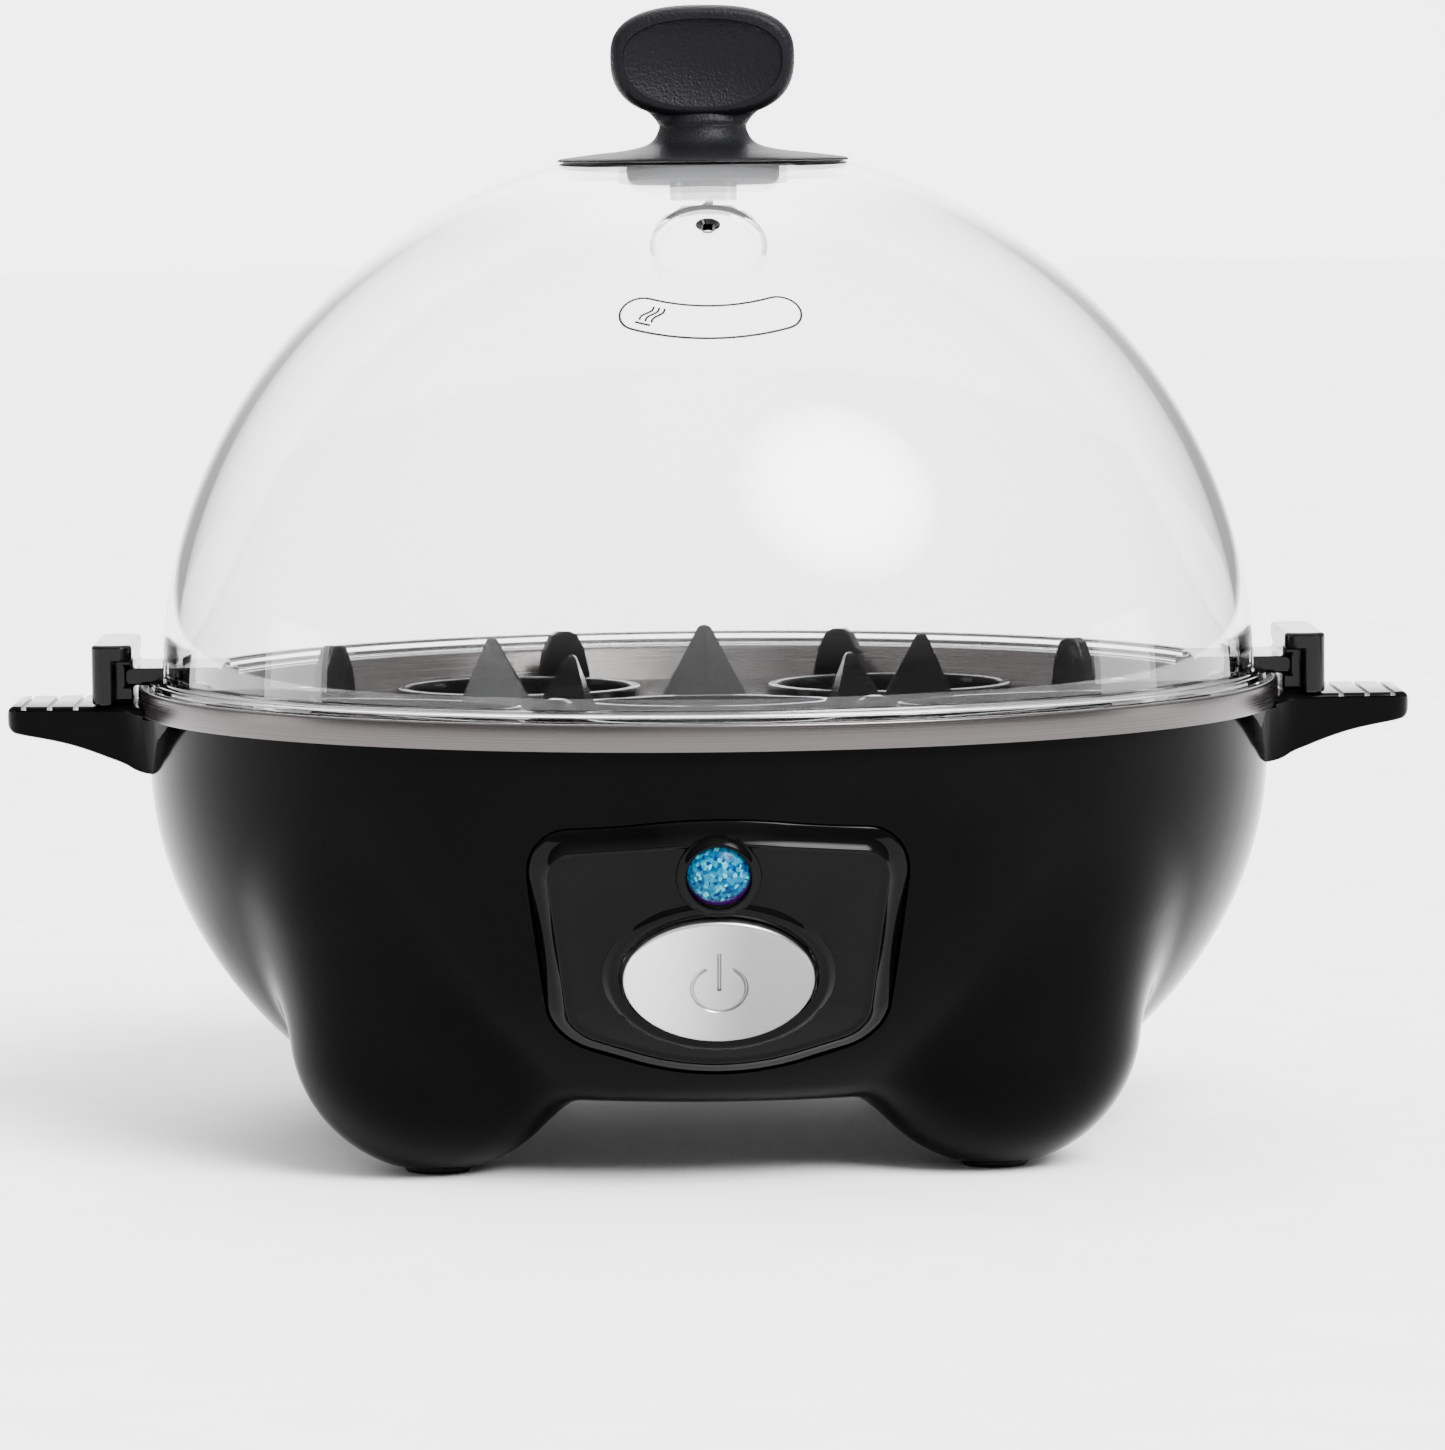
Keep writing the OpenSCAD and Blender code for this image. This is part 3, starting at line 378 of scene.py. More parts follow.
def blue_lens():
    """Cut blue plastic: fine cyan facets, painted glints in a few pale cells, and painted shade in dark
    purple where the dome turns away from the view; the colour also glows faintly.
    """
    material, tree, shader, coords = shader_of("blue_lens")
    set_sockets(shader, Roughness=0.2, IOR=1.3, Specular_IOR_Level=0.12, Emission_Strength=0.3)
    facets = tree.nodes.new("ShaderNodeTexVoronoi")
    facets.inputs["Scale"].default_value = 2000
    tree.links.new(coords.outputs["Object"], facets.inputs["Vector"])
    shade = tree.nodes.new("ShaderNodeSeparateColor")
    tree.links.new(facets.outputs["Color"], shade.inputs["Color"])
    body = two_tone(tree, shade.outputs["Red"], (0.0, 0.008, 0.055), (0.0, 0.1, 0.17))
    # painted glints: the palest facet cells are lifted to pale cyan
    painted_glints = remap(tree, shade.outputs["Blue"], 0.78, 1)
    with_painted_glints = two_tone(tree, painted_glints, body, (0.04, 0.3, 0.33))
    # painted shade: dark purple where the dome turns away from the view
    turned = tree.nodes.new("ShaderNodeLayerWeight")
    edge = remap(tree, turned.outputs["Facing"], 0.32, 0.48)
    colour = two_tone(tree, edge, with_painted_glints, (0.015, 0.0, 0.03))
    tree.links.new(colour, shader.inputs["Base Color"])
    # the same colour, painted glints and painted shade included, also glows faintly
    tree.links.new(colour, shader.inputs["Emission Color"])
    bump(tree, shader, shade.outputs["Green"], 0.12)
    return material


def silver_button():
    """Pearly silver paint, with painted light and shade: lighter at its left end, darker towards its right
    end.
    """
    material = metal("silver_button", (0.6, 0.6, 0.605), 0.32, scale=2500, depth=0.002)
    tree = material.node_tree
    coords = tree.nodes.new("ShaderNodeTexCoord")
    parts = tree.nodes.new("ShaderNodeSeparateXYZ")
    tree.links.new(coords.outputs["Object"], parts.inputs["Vector"])
    # painted light and shade across the button: light at the left end, dark towards the right end
    across = remap(tree, parts.outputs["X"], -12 * MM, 5 * MM, smooth=True)
    painted_light_and_shade = two_tone(tree, across, (0.62, 0.62, 0.625), (0.22, 0.22, 0.224))
    tree.links.new(painted_light_and_shade, tree.nodes["Principled BSDF"].inputs["Base Color"])
    return material


MATERIALS = {
    "clear_plastic": clear_plastic(),
    "knob_black": plastic(
        "knob_black", (0.0028, 0.0028, 0.0038), 0.42, grain=0.12, grain_scale=2400, gleam=0.07,
    ),
    "tray_black": plastic("tray_black", (0.0012, 0.0012, 0.0012), 0.12, grain=0.01, gleam=0.12),
    "silver_button": silver_button(),
    "white_plastic": plastic("white_plastic", (0.8, 0.8, 0.76), 0.4),
    "gloss_black": plastic("gloss_black", (0.0004, 0.0004, 0.0004), 0.1, vary=0.02, gleam=0.02),
    "panel_black": plastic("panel_black", (0.0006, 0.0006, 0.0006), 0.06, vary=0.02, gleam=0.06),
    "blue_lens": blue_lens(),
    "lamp_glass": plastic("lamp_glass", (0.5, 0.75, 0.85), 0.1),
    "zinc_steel": metal("zinc_steel", (0.66, 0.67, 0.69), 0.3),
    "brushed_steel": metal(
        "brushed_steel", (0.1, 0.092, 0.09), 0.26, stretch=(0.03, 0.03, 30), scale=300, contrast=0.5,
    ),
    "silicone": plastic("silicone", (0.8, 0.8, 0.8), 0.5),
    "aluminium": metal("aluminium", (0.8, 0.8, 0.82), 0.35),
    "element_steel": metal("element_steel", (0.35, 0.35, 0.36), 0.45),
    "dark_resin": plastic("dark_resin", (0.05, 0.04, 0.035), 0.45),
    "fuse_ceramic": plastic("fuse_ceramic", (0.7, 0.65, 0.52), 0.55),
    "red_wire": plastic("red_wire", (0.5, 0.02, 0.015), 0.4),
    "soft_black": plastic(
        "soft_black", (0.004, 0.004, 0.004), 0.6, grain=0.05, grain_scale=1500, gleam=0.2,
    ),
}


def settle(piece, body, slot, *nodes):
    """Gives a new piece its material, its body and the CAD nodes that it stands for."""
    piece.data.materials.clear()
    piece.data.materials.append(MATERIALS[slot])
    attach(piece, body)
    if nodes:
        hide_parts(*nodes)
    return piece


# ---------------------------------------------------------------- base bowl

def smooth_min(a, b, reach):
    """The smaller of two distances, blended where they are within reach of each other."""
    share = np.clip(0.5 + 0.5 * (b - a) / reach, 0, 1)
    return b + (a - b) * share - reach * share * (1 - share)


def bowl_distance(p):
    """Distance outside the bowl: an ellipsoid below its widest circle, a drum above it, cut flat below."""
    x, y = p[..., 0], p[..., 1]
    z = np.minimum(p[..., 2] - BOWL_WIDE_Z, 0)
    near = np.sqrt((x * x + y * y) / BOWL_R**2 + z * z / BOWL_DEPTH**2)
    steep = np.sqrt((x * x + y * y) / BOWL_R**4 + z * z / BOWL_DEPTH**4)
    side = near * (near - 1) / np.maximum(steep, 1e-9)
    return -smooth_min(-side, p[..., 2] - FLOOR_Z, FLOOR_ROUND)


def foot_distance(p):
    """Distance outside the foot in a point's own quarter: a capsule that leans outwards."""
    spot = np.stack([np.abs(p[..., 0]), np.abs(p[..., 1]), p[..., 2]], -1)
    out = np.array([math.sqrt(0.5), math.sqrt(0.5), 0])
    low = FOOT_RING_R * out + np.array([0, 0, FOOT_LOW_R])
    run = FOOT_LEAN * out + np.array([0, 0, FOOT_RISE])
    along = np.clip((spot - low) @ run / (run @ run), 0, 1)
    gap = np.linalg.norm(spot - low - along[..., None] * run, axis=-1)
    return gap - (FOOT_LOW_R + (FOOT_HIGH_R - FOOT_LOW_R) * along)


def base_distance(p):
    """Distance outside the bowl and its feet together, with flat soles."""
    body = smooth_min(bowl_distance(p), foot_distance(p), FOOT_BLEND)
    return -smooth_min(-body, p[..., 2] - FOOT_FLAT_Z, SOLE_ROUND)


def march(start, direction, inset):
    """Where rays leave the base's outer surface, moved inwards by an inset."""
    reach = np.linspace(0, 60, 61)
    spots = start[..., None, :] + direction[..., None, :] * reach[:, None]
    outside = base_distance(spots) + inset > 0
    first = np.argmax(outside, axis=-1)
    near, far = reach[first - 1], reach[first]
    for _ in range(HALVINGS):
        middle = (near + far) / 2
        spot = start + direction * middle[..., None]
        past = base_distance(spot) + inset > 0
        near, far = np.where(past, near, middle), np.where(past, middle, far)
    return start + direction * near[..., None]


def base_rays(around):
    """Rays from a core ring: down over the underside, fanned over the side, level near the top."""
    core_r = core_z = 45.0
    under = [(r, core_z, -90) for r in np.linspace(COVER_SEAT_R, core_r, 14)]
    fan = [(core_r, core_z, a) for a in np.linspace(-90, 0, 90)[1:]]
    level = [(core_r, z, 0) for z in np.linspace(core_z, BOWL_TOP, 14)[1:]]
    angles = np.arange(around) * TURN / around
    start, direction = [], []
    for r, z, lean in under + fan + level:
        flat, up = math.cos(math.radians(lean)), math.sin(math.radians(lean))
        start.append(np.stack([r * np.cos(angles), r * np.sin(angles), np.full(around, z)], 1))
        direction.append(np.stack([flat * np.cos(angles), flat * np.sin(angles), np.full(around, up)], 1))
    return np.array(start), np.array(direction)


def bowl_y(z):
    """The y of the bowl's front at a height below its widest circle."""
    return -BOWL_R * math.sqrt(1 - ((BOWL_WIDE_Z - z) / BOWL_DEPTH) ** 2)


def face_frame(z, tilt):
    """Frame on the bowl's front at a height: x across, y up the face, z out of it."""
    return Matrix.Translation((0, bowl_y(z), z)) @ Matrix.Rotation(math.pi / 2 + tilt, 4, "X")


PANEL = face_frame(PANEL_Z, PANEL_TILT)
LENS = face_frame(LENS_Z, LENS_TILT)
# (across, up the face, corner radius)
PANEL_CORNERS = [
    (0, 23.2, 60), (-26, 19.2, 6.5), (-22.4, -12, 8),
    (0, -18.8, 36), (22.4, -12, 8), (26, 19.2, 6.5),
]


def prism(name, outline, low, high, matrix=None):
    """An outline raised from one height to another, moved into a frame."""
    piece = through_rings(name, [at_height(outline, low), at_height(outline, high)])
    return place(piece, matrix) if matrix else piece


def base_bowl():
    """The bowl and its feet as one hollow skin, open at the cover, with a pocket for the panel."""
    around, hole_r, pocket_gap = 360, 27, 0.25
    start, direction = base_rays(around)
    outer = march(start, direction, 0)
    inner = march(start, direction, WALL)
    angles = np.arange(around) * TURN / around

    def ring(r, z):
        return np.stack([r * np.cos(angles), r * np.sin(angles), np.full(around, z)], 1)

    lip = [ring(hole_r, FLOOR_Z + WALL), ring(hole_r, COVER_HIGH.z), ring(COVER_SEAT_R, COVER_HIGH.z)]
    rings = list(outer) + list(inner[::-1]) + lip
    piece = through_rings("base_bowl", rings, joined=True, smooth_angle=50)
    carve(piece, prism("pocket", rounded(PANEL_CORNERS, pocket_gap), -16, 12, PANEL), smooth_angle=50)
    settle(piece, "base", "gloss_black", "base_body")


def inlet_boss():
    """The round boss that carries the cord's bush at the back of the bowl."""
    face, bore_r, r, edge = INLET_HIGH.y - 2.0, 5.6, 8.5, 0.6
    inside = math.sqrt(1 - ((BOWL_WIDE_Z - INLET_Z) / BOWL_DEPTH) ** 2) * BOWL_R - 6
    outline = [(bore_r, inside), (r, inside)] + arc(r - edge, face - edge, edge, 0, 90, 4)
    outline += [(bore_r, face)]
    turn = Matrix.Translation((0, 0, INLET_Z)) @ Matrix.Rotation(-math.pi / 2, 4, "X")
    piece = place(lathe("inlet_boss", outline, 96), turn)
    settle(piece, "base", "gloss_black")


# ---------------------------------------------------------------- lid

def dome_curve(inset, top, steps=64):
    """The dome's curve at a depth inside its surface, from its widest circle up to a flat top."""
    high = math.asin((top - RIM_TOP) / (DOME_H - inset))
    return [
        ((DOME_R - inset) * math.cos(a), RIM_TOP + (DOME_H - inset) * math.sin(a))
        for a in np.linspace(0, high, steps)
    ]


def vent_frame():
    """Frame on the dome's front at the vent: x across, y up the dome, z out of it."""
    height = RIM_TOP + DOME_H * math.sqrt(1 - (VENT_R / DOME_R) ** 2)
    lean = math.atan2(VENT_R / DOME_R**2, (height - RIM_TOP) / DOME_H**2)
    return Matrix.Translation((0, -VENT_R, height)) @ Matrix.Rotation(lean, 4, "X")


def box_piece(name, low, high):
    """A block between two opposite corners."""
    outline = [(low[0], low[1]), (high[0], low[1]), (high[0], high[1]), (low[0], high[1])]
    return through_rings(name, [at_height(outline, low[2]), at_height(outline, high[2])])


def lid_shell():
    """The clear dome on its flange, with the vent's dish and hole and notches for the tray's arms."""
    foot, flange_r = DOME_LOW.z, DOME_HIGH.y
    flange_top, fillet, top_round, foot_round = foot + 1.6, 0.6, 0.4, 0.3
    screw_hole_r, inside_top = 2.2, DOME_TOP - 2.3
    outer = [p for p in dome_curve(0, DOME_TOP) if p[1] > flange_top + fillet]
    outline = [(screw_hole_r, DOME_TOP)] + outer[::-1]
    outline += arc(DOME_R + fillet, flange_top + fillet, fillet, 180, 270, 4)
    outline += arc(flange_r - top_round, flange_top - top_round, top_round, 90, 0, 4)
    outline += arc(flange_r - foot_round, foot + foot_round, foot_round, 0, -90, 4)
    outline += [(DOME_R - DOME_WALL, foot)]
    outline += dome_curve(DOME_WALL, inside_top) + [(screw_hole_r, inside_top)]
    piece = lathe("lid_shell", outline, 256)
    # (margin outside the vent's oval, height over the dome)
    slope = [(-7.5, -0.3), (-3, -0.3), (-1.2, -0.3), (-0.9, -0.26), (-0.3, -0.05), (0, 0.05)]
    slope += [(0.3, 0.4), (0.4, 3)]
    dish = []
    for grow, sink in slope:
        dish.append([on_dome(u, v, sink) for u, v in ellipse(VENT_W / 2 + grow, VENT_L / 2 + grow)])
    hole = [(0, -5), (1.2, -5), (1.2, -1.2), (1.7, -0.7), (1.7, 5), (0, 5)]
    cutters = [through_rings("dish", dish)]
    cutters.append(place(lathe("hole", hole, 48), vent_frame() @ Matrix.Translation((0, VENT_HOLE_UP, 0))))
    notch_half, notch_top, inside = 9.8, foot + 4.2, DOME_R - 9
    for side in (-1, 1):
        ends = sorted((side * inside, side * (flange_r + 1)))
        low, high = (ends[0], -notch_half, foot - 1), (ends[1], notch_half, notch_top)
        cutters.append(box_piece("notch", low, high))
    carve(piece, *cutters)
    settle(piece, "lid", "clear_plastic", "lid_dome")


def on_dome(u, v, proud):
    """The point over (u, v) of the vent's plane on the dome's outer surface, grown by a margin."""
    return cast(vent_frame(), u, v, (DOME_R + proud, DOME_H + proud), RIM_TOP)


def printed_line(name, path, joined=False):
    """A fine printed line on the dome, through points of the vent's plane."""
    half, thick = 0.16, 0.05
    count = len(path)
    rings = []
    for i, spot in enumerate(path):
        before = path[i - 1] if joined or i else spot
        after = path[(i + 1) % count] if joined or i < count - 1 else spot
        along = (Vector(after) - Vector(before)).normalized()
        side = Vector((-along.y, along.x)) * half
        left, right = Vector(spot) + side, Vector(spot) - side
        section = [(left, 0.0), (left, thick), (right, thick), (right, 0.0)]
        rings.append([on_dome(*edge, proud) for edge, proud in section])
    settle(through_rings(name, rings, joined=joined), "lid", "soft_black")


def steam_label():
    """A curved capsule under the vent with three steam waves in it, and no words."""
    bend, middle, half, end = 21.0, -16.2, 2.9, 26.5
    centre = (0, middle + bend)

    def swung(r, a):
        return (centre[0] + r * math.sin(math.radians(a)), centre[1] - r * math.cos(math.radians(a)))

    outline = [swung(bend + half, a) for a in np.linspace(-end, end, 41)]
    for side, start in ((1, -90), (-1, 90)):
        spot = swung(bend, side * end)
        turn = np.linspace(start, start + 180, 15)[1:-1]
        for a in np.radians(turn + side * end):
            outline.append((spot[0] + half * math.cos(a), spot[1] + half * math.sin(a)))
        if side > 0:
            outline += [swung(bend - half, a) for a in np.linspace(end, -end, 41)]
    printed_line("label_outline", outline, joined=True)
    for i in range(3):
        wave = []
        for t in np.linspace(-1, 1, 13):
            swing = -end + 2 + 2.3 * i + 0.8 * math.sin(math.pi * t) + 1.2 * t
            wave.append(swung(bend - 1.4 * t - 0.3, swing))
        printed_line("steam_wave_%d" % (i + 1), wave)
    foot = [swung(bend + 1.6, a) for a in np.linspace(-end - 0.3, -end + 5.4, 5)]
    printed_line("steam_foot", foot)


def knob_paddle():
    """An upright oval slab with broad round edges and a dished recess in each face."""
    half_t, round_in, round_deep, lip, dish = 5.0, 1.3, 2.4, 0.4, 1.1
    recess_w, recess_up, recess_down = 11.2, 5.4, 6.9

    def recess(share, grow, depth):
        radii = [(size + grow) * share for size in (recess_w, recess_up, recess_down)]
        outline = oval(*radii, 2.3)
        return [(x, depth, PADDLE_WIDE_Z - 0.2 + z) for x, z in outline]

    half = [recess(s, 0, half_t - lip - dish * (1 - s * s)) for s in (0.03, 0.3, 0.5, 0.7, 0.85, 0.95, 1.0)]
    half += [recess(1, 0.06, half_t - 0.12), recess(1, 0.12, half_t - 0.03)]
    for a in np.radians(np.linspace(6, 90, 12)):
        inset, depth = round_in * (1 - math.sin(a)), half_t - round_deep * (1 - math.cos(a))
        outline = oval(PADDLE_HALF_W - inset, 7.3 - inset, 8.7 - inset, 2.6)
        half.append([(x, depth, PADDLE_WIDE_Z + z) for x, z in outline])
    rings = half + [[(x, -y, z) for x, y, z in ring] for ring in reversed(half)]
    settle(through_rings("knob_paddle", rings, smooth_angle=40), "lid", "knob_black", "lid_knob")


def knob_foot():
    """The round flange, its concave flare and the neck, which spreads again under the paddle."""
    top, r = DOME_TOP, KNOB_FLANGE_R

    def section(rx, ry, z):
        return at_height(ellipse(rx, ry, 192), z)

    rings = [section(0.5, 0.5, top + 0.05), section(8, 8, top + 0.05)]
    for radius in np.linspace(8.5, r - 0.3, 10):
        curve = RIM_TOP + DOME_H * math.sqrt(1 - (radius / DOME_R) ** 2)
        rings.append(section(radius, radius, min(top, curve) + 0.17))
    edge_z = rings[-1][0][2]
    rings += [section(r, r, edge_z + 0.12), section(r - 0.05, r - 0.05, edge_z + 0.3)]
    flare = [(r - 0.5, edge_z + 0.5), (15.6, top + 0.3), (11.4, top + 0.75), (8.4, top + 1.4)]
    flare += [(7, top + 2.3), (6.3, top + 3.6), (6.2, top + 4.2)]
    rings += [section(radius, radius, z) for radius, z in through(flare, 5)]
    # (half width, half depth, height over the dome)
    neck = [(6.25, 6.0, 4.4), (6.4, 5.4, 4.65), (6.7, 4.95, 5.1), (7.3, 4.7, 5.8), (8.3, 4.4, 6.6)]
    neck += [(9.6, 4.0, 7.4)]
    rings += [section(rx, ry, top + z) for rx, ry, z in neck]
    settle(through_rings("knob_foot", rings, smooth_angle=40), "lid", "knob_black")


# ---------------------------------------------------------------- pan

def pan():
    """The pan as one sheet, with its bright rim band rolled over at the top."""
    sheet = 0.8
    floor_z, step_z = PAN_LOW.z + sheet, TRAY_LOW.z - 0.1
    floor_r, step_in, step_out, ledge_in = BOWL_R - 14.1, BOWL_R - 11.6, BOWL_R - 7.6, BOWL_R - 6.1
    top = [(0, floor_z), (floor_r - 3, floor_z), (floor_r - 0.8, floor_z + 0.6)]
    top += [(step_in - 0.4, step_z - 0.7), (step_in + 0.3, step_z)]
    top += [(step_out - 0.4, step_z), (step_out + 0.1, step_z + 0.4)]
    top += [(ledge_in - 0.1, LEDGE_Z - 0.5), (ledge_in + 0.4, LEDGE_Z), (RIM_R - sheet - 0.2, LEDGE_Z)]
    roll = arc(RIM_R - sheet / 2, RIM_TOP - sheet / 2, sheet / 2, 180, 0, 8)
    foot = RIM_TOP - RIM_H
    band = [(RIM_R, foot + 0.3), (RIM_R - 0.1, foot), (RIM_R - sheet, foot)]
    under = [(r, z - sheet) for r, z in reversed(top)]
    under[0] = (RIM_R - sheet, LEDGE_Z - sheet)
    piece = lathe("steel_pan", top + roll + band + under, 256, smooth_angle=40)
    settle(piece, "base", "brushed_steel", "heating_pan")


# ---------------------------------------------------------------- handles

def curve_at(corners, x):
    """The height at x of a smooth curve through a few points that are sorted by x."""
    xs, heights = zip(*through(corners, 8))
    return float(np.interp(x, xs, heights))


def handle(side):
    """A tongue whose flanks sweep out along the bowl's rim and whose underside falls to its root."""
    tip, top = HANDLE_HIGH.x, HANDLE_HIGH.z
    start, corner, nose = BOWL_R - 9.6, 4.0, 1.3
    groove_in, groove_pitch, groove_w, groove_deep = 2.9, 3.7, 0.7, 0.5
    upper = [
        (start, ROOT_HALF_W), (BOWL_R - 3.8, 27.5), (BOWL_R - 1.2, 20.6), (BOWL_R + 1.4, 15.3),
        (BOWL_R + 4, 12.4), (BOWL_R + 8, 10.9), (tip - corner, TIP_HALF_W),
    ]
    under = [
        (start, ROOT_Z - 0.6), (BOWL_R, ROOT_Z + 0.3), (BOWL_R + 3.8, ROOT_Z + 2),
        (BOWL_R + 11.5, ROOT_Z + 4.6), (tip, top - 3.7),
    ]
    stations = [(x, 0.0) for x in np.linspace(start, tip - corner, 30)[:-1]]
    for a in np.linspace(0, 1.5, 12):
        stations.append((tip - corner + corner * math.sin(a), corner * (1 - math.cos(a))))
    rings = []
    for x, inset in stations:
        late = max(0.0, x - (tip - nose)) / nose
        trim = nose * (1 - math.sqrt(max(0.0, 1 - late * late)))
        high, low = top - trim, curve_at(under, x) + trim
        half_top = curve_at(upper, x) - inset
        half_low = min(NECK_HALF_W - inset, half_top) - 0.4
        section = [(half_top, high, 0.7), (-half_top, high, 0.7)]
        section += [(-half_low, low, 0.6), (half_low, low, 0.6)]
        rings.append([(side * x, y, z) for y, z in rounded(section, steps=5)])
    name = "handle_right" if side > 0 else "handle_left"
    piece = through_rings(name, rings)
    inside, rim_r, rim_z = BOWL_R - 1.2, RIM_R + 0.3, RIM_TOP - RIM_H - 0.2
    cutters = [lathe("bowl", [(0, 0), (inside, 0), (inside, 99), (0, 99)], 192)]
    cutters.append(lathe("rim", [(0, rim_z), (rim_r, rim_z), (rim_r, 99), (0, 99)], 192))
    for i in range(3):
        x = tip - groove_in - groove_pitch * i
        ends = sorted((side * x, side * (x + groove_w)))
        cutters.append(box_piece("groove", (ends[0], -40, top - groove_deep), (ends[1], 40, top + 5)))
    carve(piece, *cutters, smooth_angle=30)
    settle(piece, "base", "gloss_black", name)


# ---------------------------------------------------------------- control panel

def cast(matrix, u, v, radii, centre_z):
    """Where a ray square to a frame's plane at (u, v) meets an upright ellipsoid of revolution."""
    flat, tall = radii
    scale = Vector((1 / flat, 1 / flat, 1 / tall))
    start = matrix @ Vector((u, v, 0))
    step = matrix.to_3x3() @ Vector((0, 0, 1))
    base = Vector(a * b for a, b in zip(start - Vector((0, 0, centre_z)), scale))
    way = Vector(a * b for a, b in zip(step, scale))
    a, b, c = way.dot(way), base.dot(way), base.dot(base) - 1
    return start + step * ((-b + math.sqrt(b * b - a * c)) / a)


def on_bowl(u, v, proud):
    """The point over (u, v) of the panel's plane on the bowl's surface, grown by a margin."""
    return cast(PANEL, u, v, (BOWL_R + proud, BOWL_DEPTH + proud), BOWL_WIDE_Z)


def panel_ring(outline, proud, hug=0.0):
    """A ring on the bowl's own curve, drawn towards the base's real surface beside the lobes by a share."""
    plain = np.array([on_bowl(u, v, proud) for u, v in outline])
    if not hug:
        return plain
    out = np.array(PANEL.to_3x3() @ Vector((0, 0, 1)))
    low, high = np.full(len(plain), -1.0), np.full(len(plain), 6.0)
    for _ in range(HALVINGS):
        middle = (low + high) / 2
        inside = base_distance(plain + middle[:, None] * out) < proud
        low, high = np.where(inside, middle, low), np.where(inside, high, middle)
    return plain + hug * low[:, None] * out


def shrunk(outline, share):
    return [(u * share, v * share) for u, v in outline]


def button_oval(grow, steps=96):
    """The power button's outline, grown by a margin."""
    return ellipse(BUTTON_W / 2 + grow, BUTTON_H / 2 + grow, steps)


def control_panel():
    """A raised face with a wide slanted border and a fine bead between them, let into the bowl."""
    def outline(grow):
        return rounded(PANEL_CORNERS, grow, steps=12)

    shares = np.linspace(0.04, 0.96, 20)
    face_grow, face_proud = -3.1, 0.34
    rings = [panel_ring(shrunk(outline(0), s), -2.4) for s in shares]
    rings += [panel_ring(outline(0), -2.4), panel_ring(outline(0), -0.55, 1)]
    # (margin, height over the bowl, share of the way to the base's real surface)
    border = [(-0.04, -0.38, 1), (-0.12, -0.24, 1), (-0.25, -0.16, 0.95), (-0.45, -0.1, 0.9)]
    border += [(-1.3, 0.08, 0.5)]
    bead = [(-2.4, 0.3, 0), (-2.46, 0.42, 0), (-2.55, 0.52, 0), (-2.7, 0.57, 0), (-2.85, 0.52, 0)]
    bead += [(-2.98, 0.42, 0)]
    rings += [panel_ring(outline(grow), proud, hug) for grow, proud, hug in border + bead]
    rings += [panel_ring(outline(face_grow), face_proud)]
    rings += [panel_ring(shrunk(outline(face_grow), s), face_proud) for s in shares[::-1]]
    piece = through_rings("panel", rings, smooth_angle=50)
    well = prism("well", button_oval(BUTTON_GAP), -12, 12, PANEL)
    seat = prism("seat", ellipse(LENS_SEAT_R, LENS_SEAT_R, 64), -12, 12, LENS)
    carve(piece, well, seat, smooth_angle=50)
    settle(piece, "base", "panel_black", "control_panel")


def button_collar():
    """A raised ring round the button that slopes down on both sides."""
    bottom = -2.5
    # (margin outside the button, height over the bowl)
    profile = [(BUTTON_GAP, bottom), (BUTTON_GAP, 0.1), (0.55, 0.3), (0.9, 0.5), (1.4, 0.72), (1.7, 0.76)]
    profile += [(1.95, 0.7), (2.2, 0.5), (2.5, 0.34), (2.7, 0.2), (2.7, bottom)]
    rings = []
    for out, height in profile:
        rings.append(panel_ring(button_oval(out, 128), height))
    settle(through_rings("button_collar", rings, joined=True), "base", "panel_black")


def lens_collar():
    """A small raised ring round the indicator lens."""
    bottom = -0.5
    profile = [(LENS_SEAT_R, bottom), (LENS_SEAT_R, 0.8), (4.42, 0.95), (4.6, 1.0), (4.8, 0.92)]
    profile += [(5.1, 0.6), (5.6, 0.45), (5.7, 0.2), (5.7, bottom)]
    piece = place(lathe("lens_collar", profile, 96), LENS)
    settle(piece, "base", "panel_black")


def power_button():
    """An oval cap with a gentle crown and an engraved on/off mark."""
    crown_r, top, bottom, edge = 75.0, 1.2, -2.2, 0.5
    rx, ry = BUTTON_W / 2, BUTTON_H / 2

    def crowned(outline, drop=0.0):
        return [(x, y, top - (x * x + y * y) / (2 * crown_r) - drop) for x, y in outline]

    rings = [at_height(ellipse(rx, ry), bottom), crowned(ellipse(rx, ry), edge)]
    for a in np.linspace(0.3, math.pi / 2, 5):
        inset = edge * (1 - math.cos(a))
        rings.append(crowned(ellipse(rx - inset, ry - inset), edge * (1 - math.sin(a))))
    for share in np.linspace(0.93, 0.03, 24):
        rings.append(crowned(ellipse((rx - edge) * share, (ry - edge) * share)))
    piece = place(through_rings("button_cap", rings, smooth_angle=40), PANEL)
    ring_r, ring_y, gap, bar_low, bar_high = 3.65, -0.5, 28, -0.8, 5.1

    def groove(x, y, across):
        """Section of a V groove at a spot, square to the line that it follows."""
        surface = top - (x * x + y * y) / (2 * crown_r)
        profile = [(-0.06, -0.3), (0.06, -0.3), (1.0, 0.9), (-1.0, 0.9)]
        return [(x + out * across[0], y + out * across[1], surface + rise) for out, rise in profile]

    broken = []
    for a in np.radians(np.linspace(90 + gap, 450 - gap, 49)):
        across = (math.cos(a), math.sin(a))
        broken.append(groove(ring_r * across[0], ring_r * across[1] + ring_y, across))
    bar = [groove(0, y, (1, 0)) for y in np.linspace(bar_low, bar_high, 9)]
    mark = place(through_rings("mark", broken), PANEL)
    carve(piece, mark, place(through_rings("bar", bar), PANEL), smooth_angle=40)
    settle(piece, "button", "silver_button", "power_button")


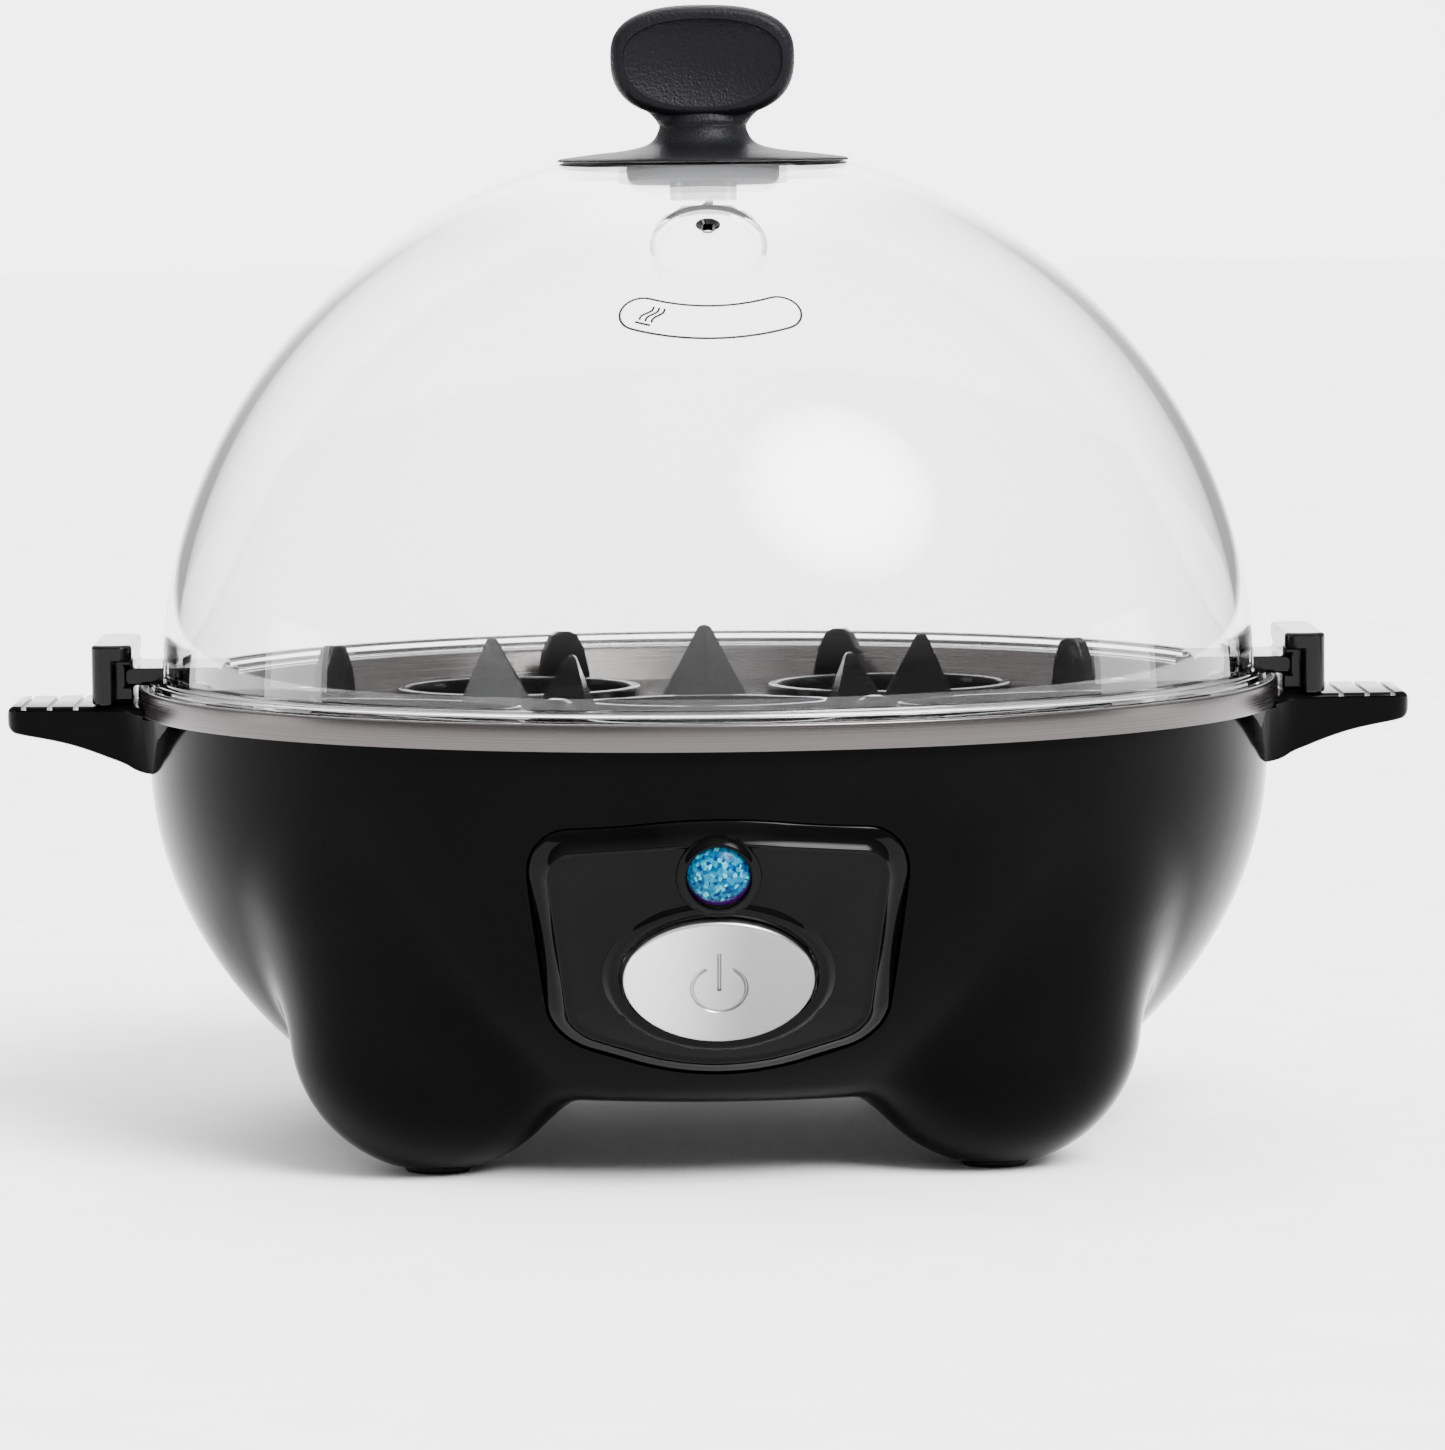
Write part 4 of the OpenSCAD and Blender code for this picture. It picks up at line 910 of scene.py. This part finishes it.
def indicator_lens():
    """A short post of blue plastic with a domed face."""
    bottom, top, bulge = -4.5, 2.1, 5.4
    outline = [(0, bottom), (LENS_R, bottom)]
    start = math.degrees(math.acos(LENS_R / bulge))
    outline += arc(0, top - bulge, bulge, start, 90, 16)
    piece = place(lathe("lens", outline, 96), LENS)
    settle(piece, "base", "blue_lens", "indicator_lens")


# ---------------------------------------------------------------- stage

def camera():
    """Long lens from the front, a little to the left, level with the lid's knob and slightly rolled."""
    data = bpy.data.cameras.new("camera")
    data.sensor_width = 36
    data.lens = FOCAL_LENGTH
    data.clip_start, data.clip_end = 0.05, 20
    view = bpy.data.objects.new("camera", data)
    bpy.context.scene.collection.objects.link(view)
    eye = Vector(EYE) * MM
    target = Vector(AIM) * MM
    view.location = eye
    view.rotation_mode = "QUATERNION"
    look = (target - eye).to_track_quat("-Z", "Y")
    view.rotation_quaternion = look @ Matrix.Rotation(math.radians(ROLL), 3, "Z").to_quaternion()
    bpy.context.scene.camera = view


def floor():
    """A wide matt table top."""
    half = 6.0
    corners = [(-half, -half, 0), (half, -half, 0), (half, half, 0), (-half, half, 0)]
    mesh = bpy.data.meshes.new("floor")
    mesh.from_pydata(corners, [], [(0, 1, 2, 3)])
    plane = bpy.data.objects.new("floor", mesh)
    bpy.context.scene.collection.objects.link(plane)
    plane.data.materials.append(plastic("floor_white", (0.8, 0.8, 0.8), 0.8, gleam=0.1))


def area_light(name, spot, target, width, height, power):
    """A rectangular lamp at a spot, turned to face its target; sizes in metres."""
    data = bpy.data.lights.new(name, "AREA")
    data.shape = "RECTANGLE"
    data.size, data.size_y = width, height
    data.energy = power
    lamp = bpy.data.objects.new(name, data)
    bpy.context.scene.collection.objects.link(lamp)
    lamp.location = spot
    lamp.rotation_mode = "QUATERNION"
    lamp.rotation_quaternion = (Vector(target) - Vector(spot)).to_track_quat("-Z", "Y")


def studio_world():
    """A pale surround: brightest behind the object, darker beside it, with a soft key at front right."""
    world = bpy.data.worlds.new("studio")
    world.use_nodes = True
    tree = world.node_tree
    background = tree.nodes["Background"]
    background.inputs["Color"].default_value = (1, 1, 1, 1)
    coords = tree.nodes.new("ShaderNodeTexCoord")
    parts = tree.nodes.new("ShaderNodeSeparateXYZ")
    tree.links.new(coords.outputs["Generated"], parts.inputs["Vector"])
    toward = tree.nodes.new("ShaderNodeVectorMath")
    toward.operation = "DOT_PRODUCT"
    toward.inputs[1].default_value = Vector(KEY_FROM).normalized()
    tree.links.new(coords.outputs["Generated"], toward.inputs[0])
    back = remap(tree, parts.outputs["Y"], -0.6, 0.6, WORLD_FRONT, WORLD_BACK, smooth=True)
    beside = calculate(tree, "ABSOLUTE", parts.outputs["X"])
    side = remap(tree, beside, 0.1, 0.32, 1.0, WORLD_SIDE, smooth=True)
    up = remap(tree, parts.outputs["Z"], 0.1, 0.9, 0.0, WORLD_UP)
    key = remap(tree, toward.outputs["Value"], 0.93, 1.0, 0.0, WORLD_KEY, smooth=True)
    strength = calculate(tree, "MULTIPLY", back, side)
    for more in (up, key):
        strength = calculate(tree, "ADD", strength, more)
    tree.links.new(strength, background.inputs["Strength"])
    bpy.context.scene.world = world


def side_lights():
    """Two low soft boxes, one at each side."""
    apart = 1.3
    for name, x in (("left", -apart), ("right", apart)):
        area_light(name, (x, 0.1, 0.13), (0, 0, 0.05), width=0.4, height=0.24, power=1.4)


camera()
floor()
studio_world()
side_lights()
base_bowl()
inlet_boss()
pan()
handle(-1)
handle(1)
control_panel()
button_collar()
lens_collar()
power_button()
indicator_lens()
lid_shell()
steam_label()
knob_foot()
knob_paddle()
soften(frame["nodes"]["egg_tray"], 0.5, clamp=False)
soften(frame["nodes"]["cord_inlet"], 0.4)
soften(frame["nodes"]["bottom_cover"], 0.3)

for part in frame["record"]["subparts"]:
    node = frame["nodes"][part["node"]]
    node.data.materials.clear()
    node.data.materials.append(MATERIALS[part["material_slot"]])
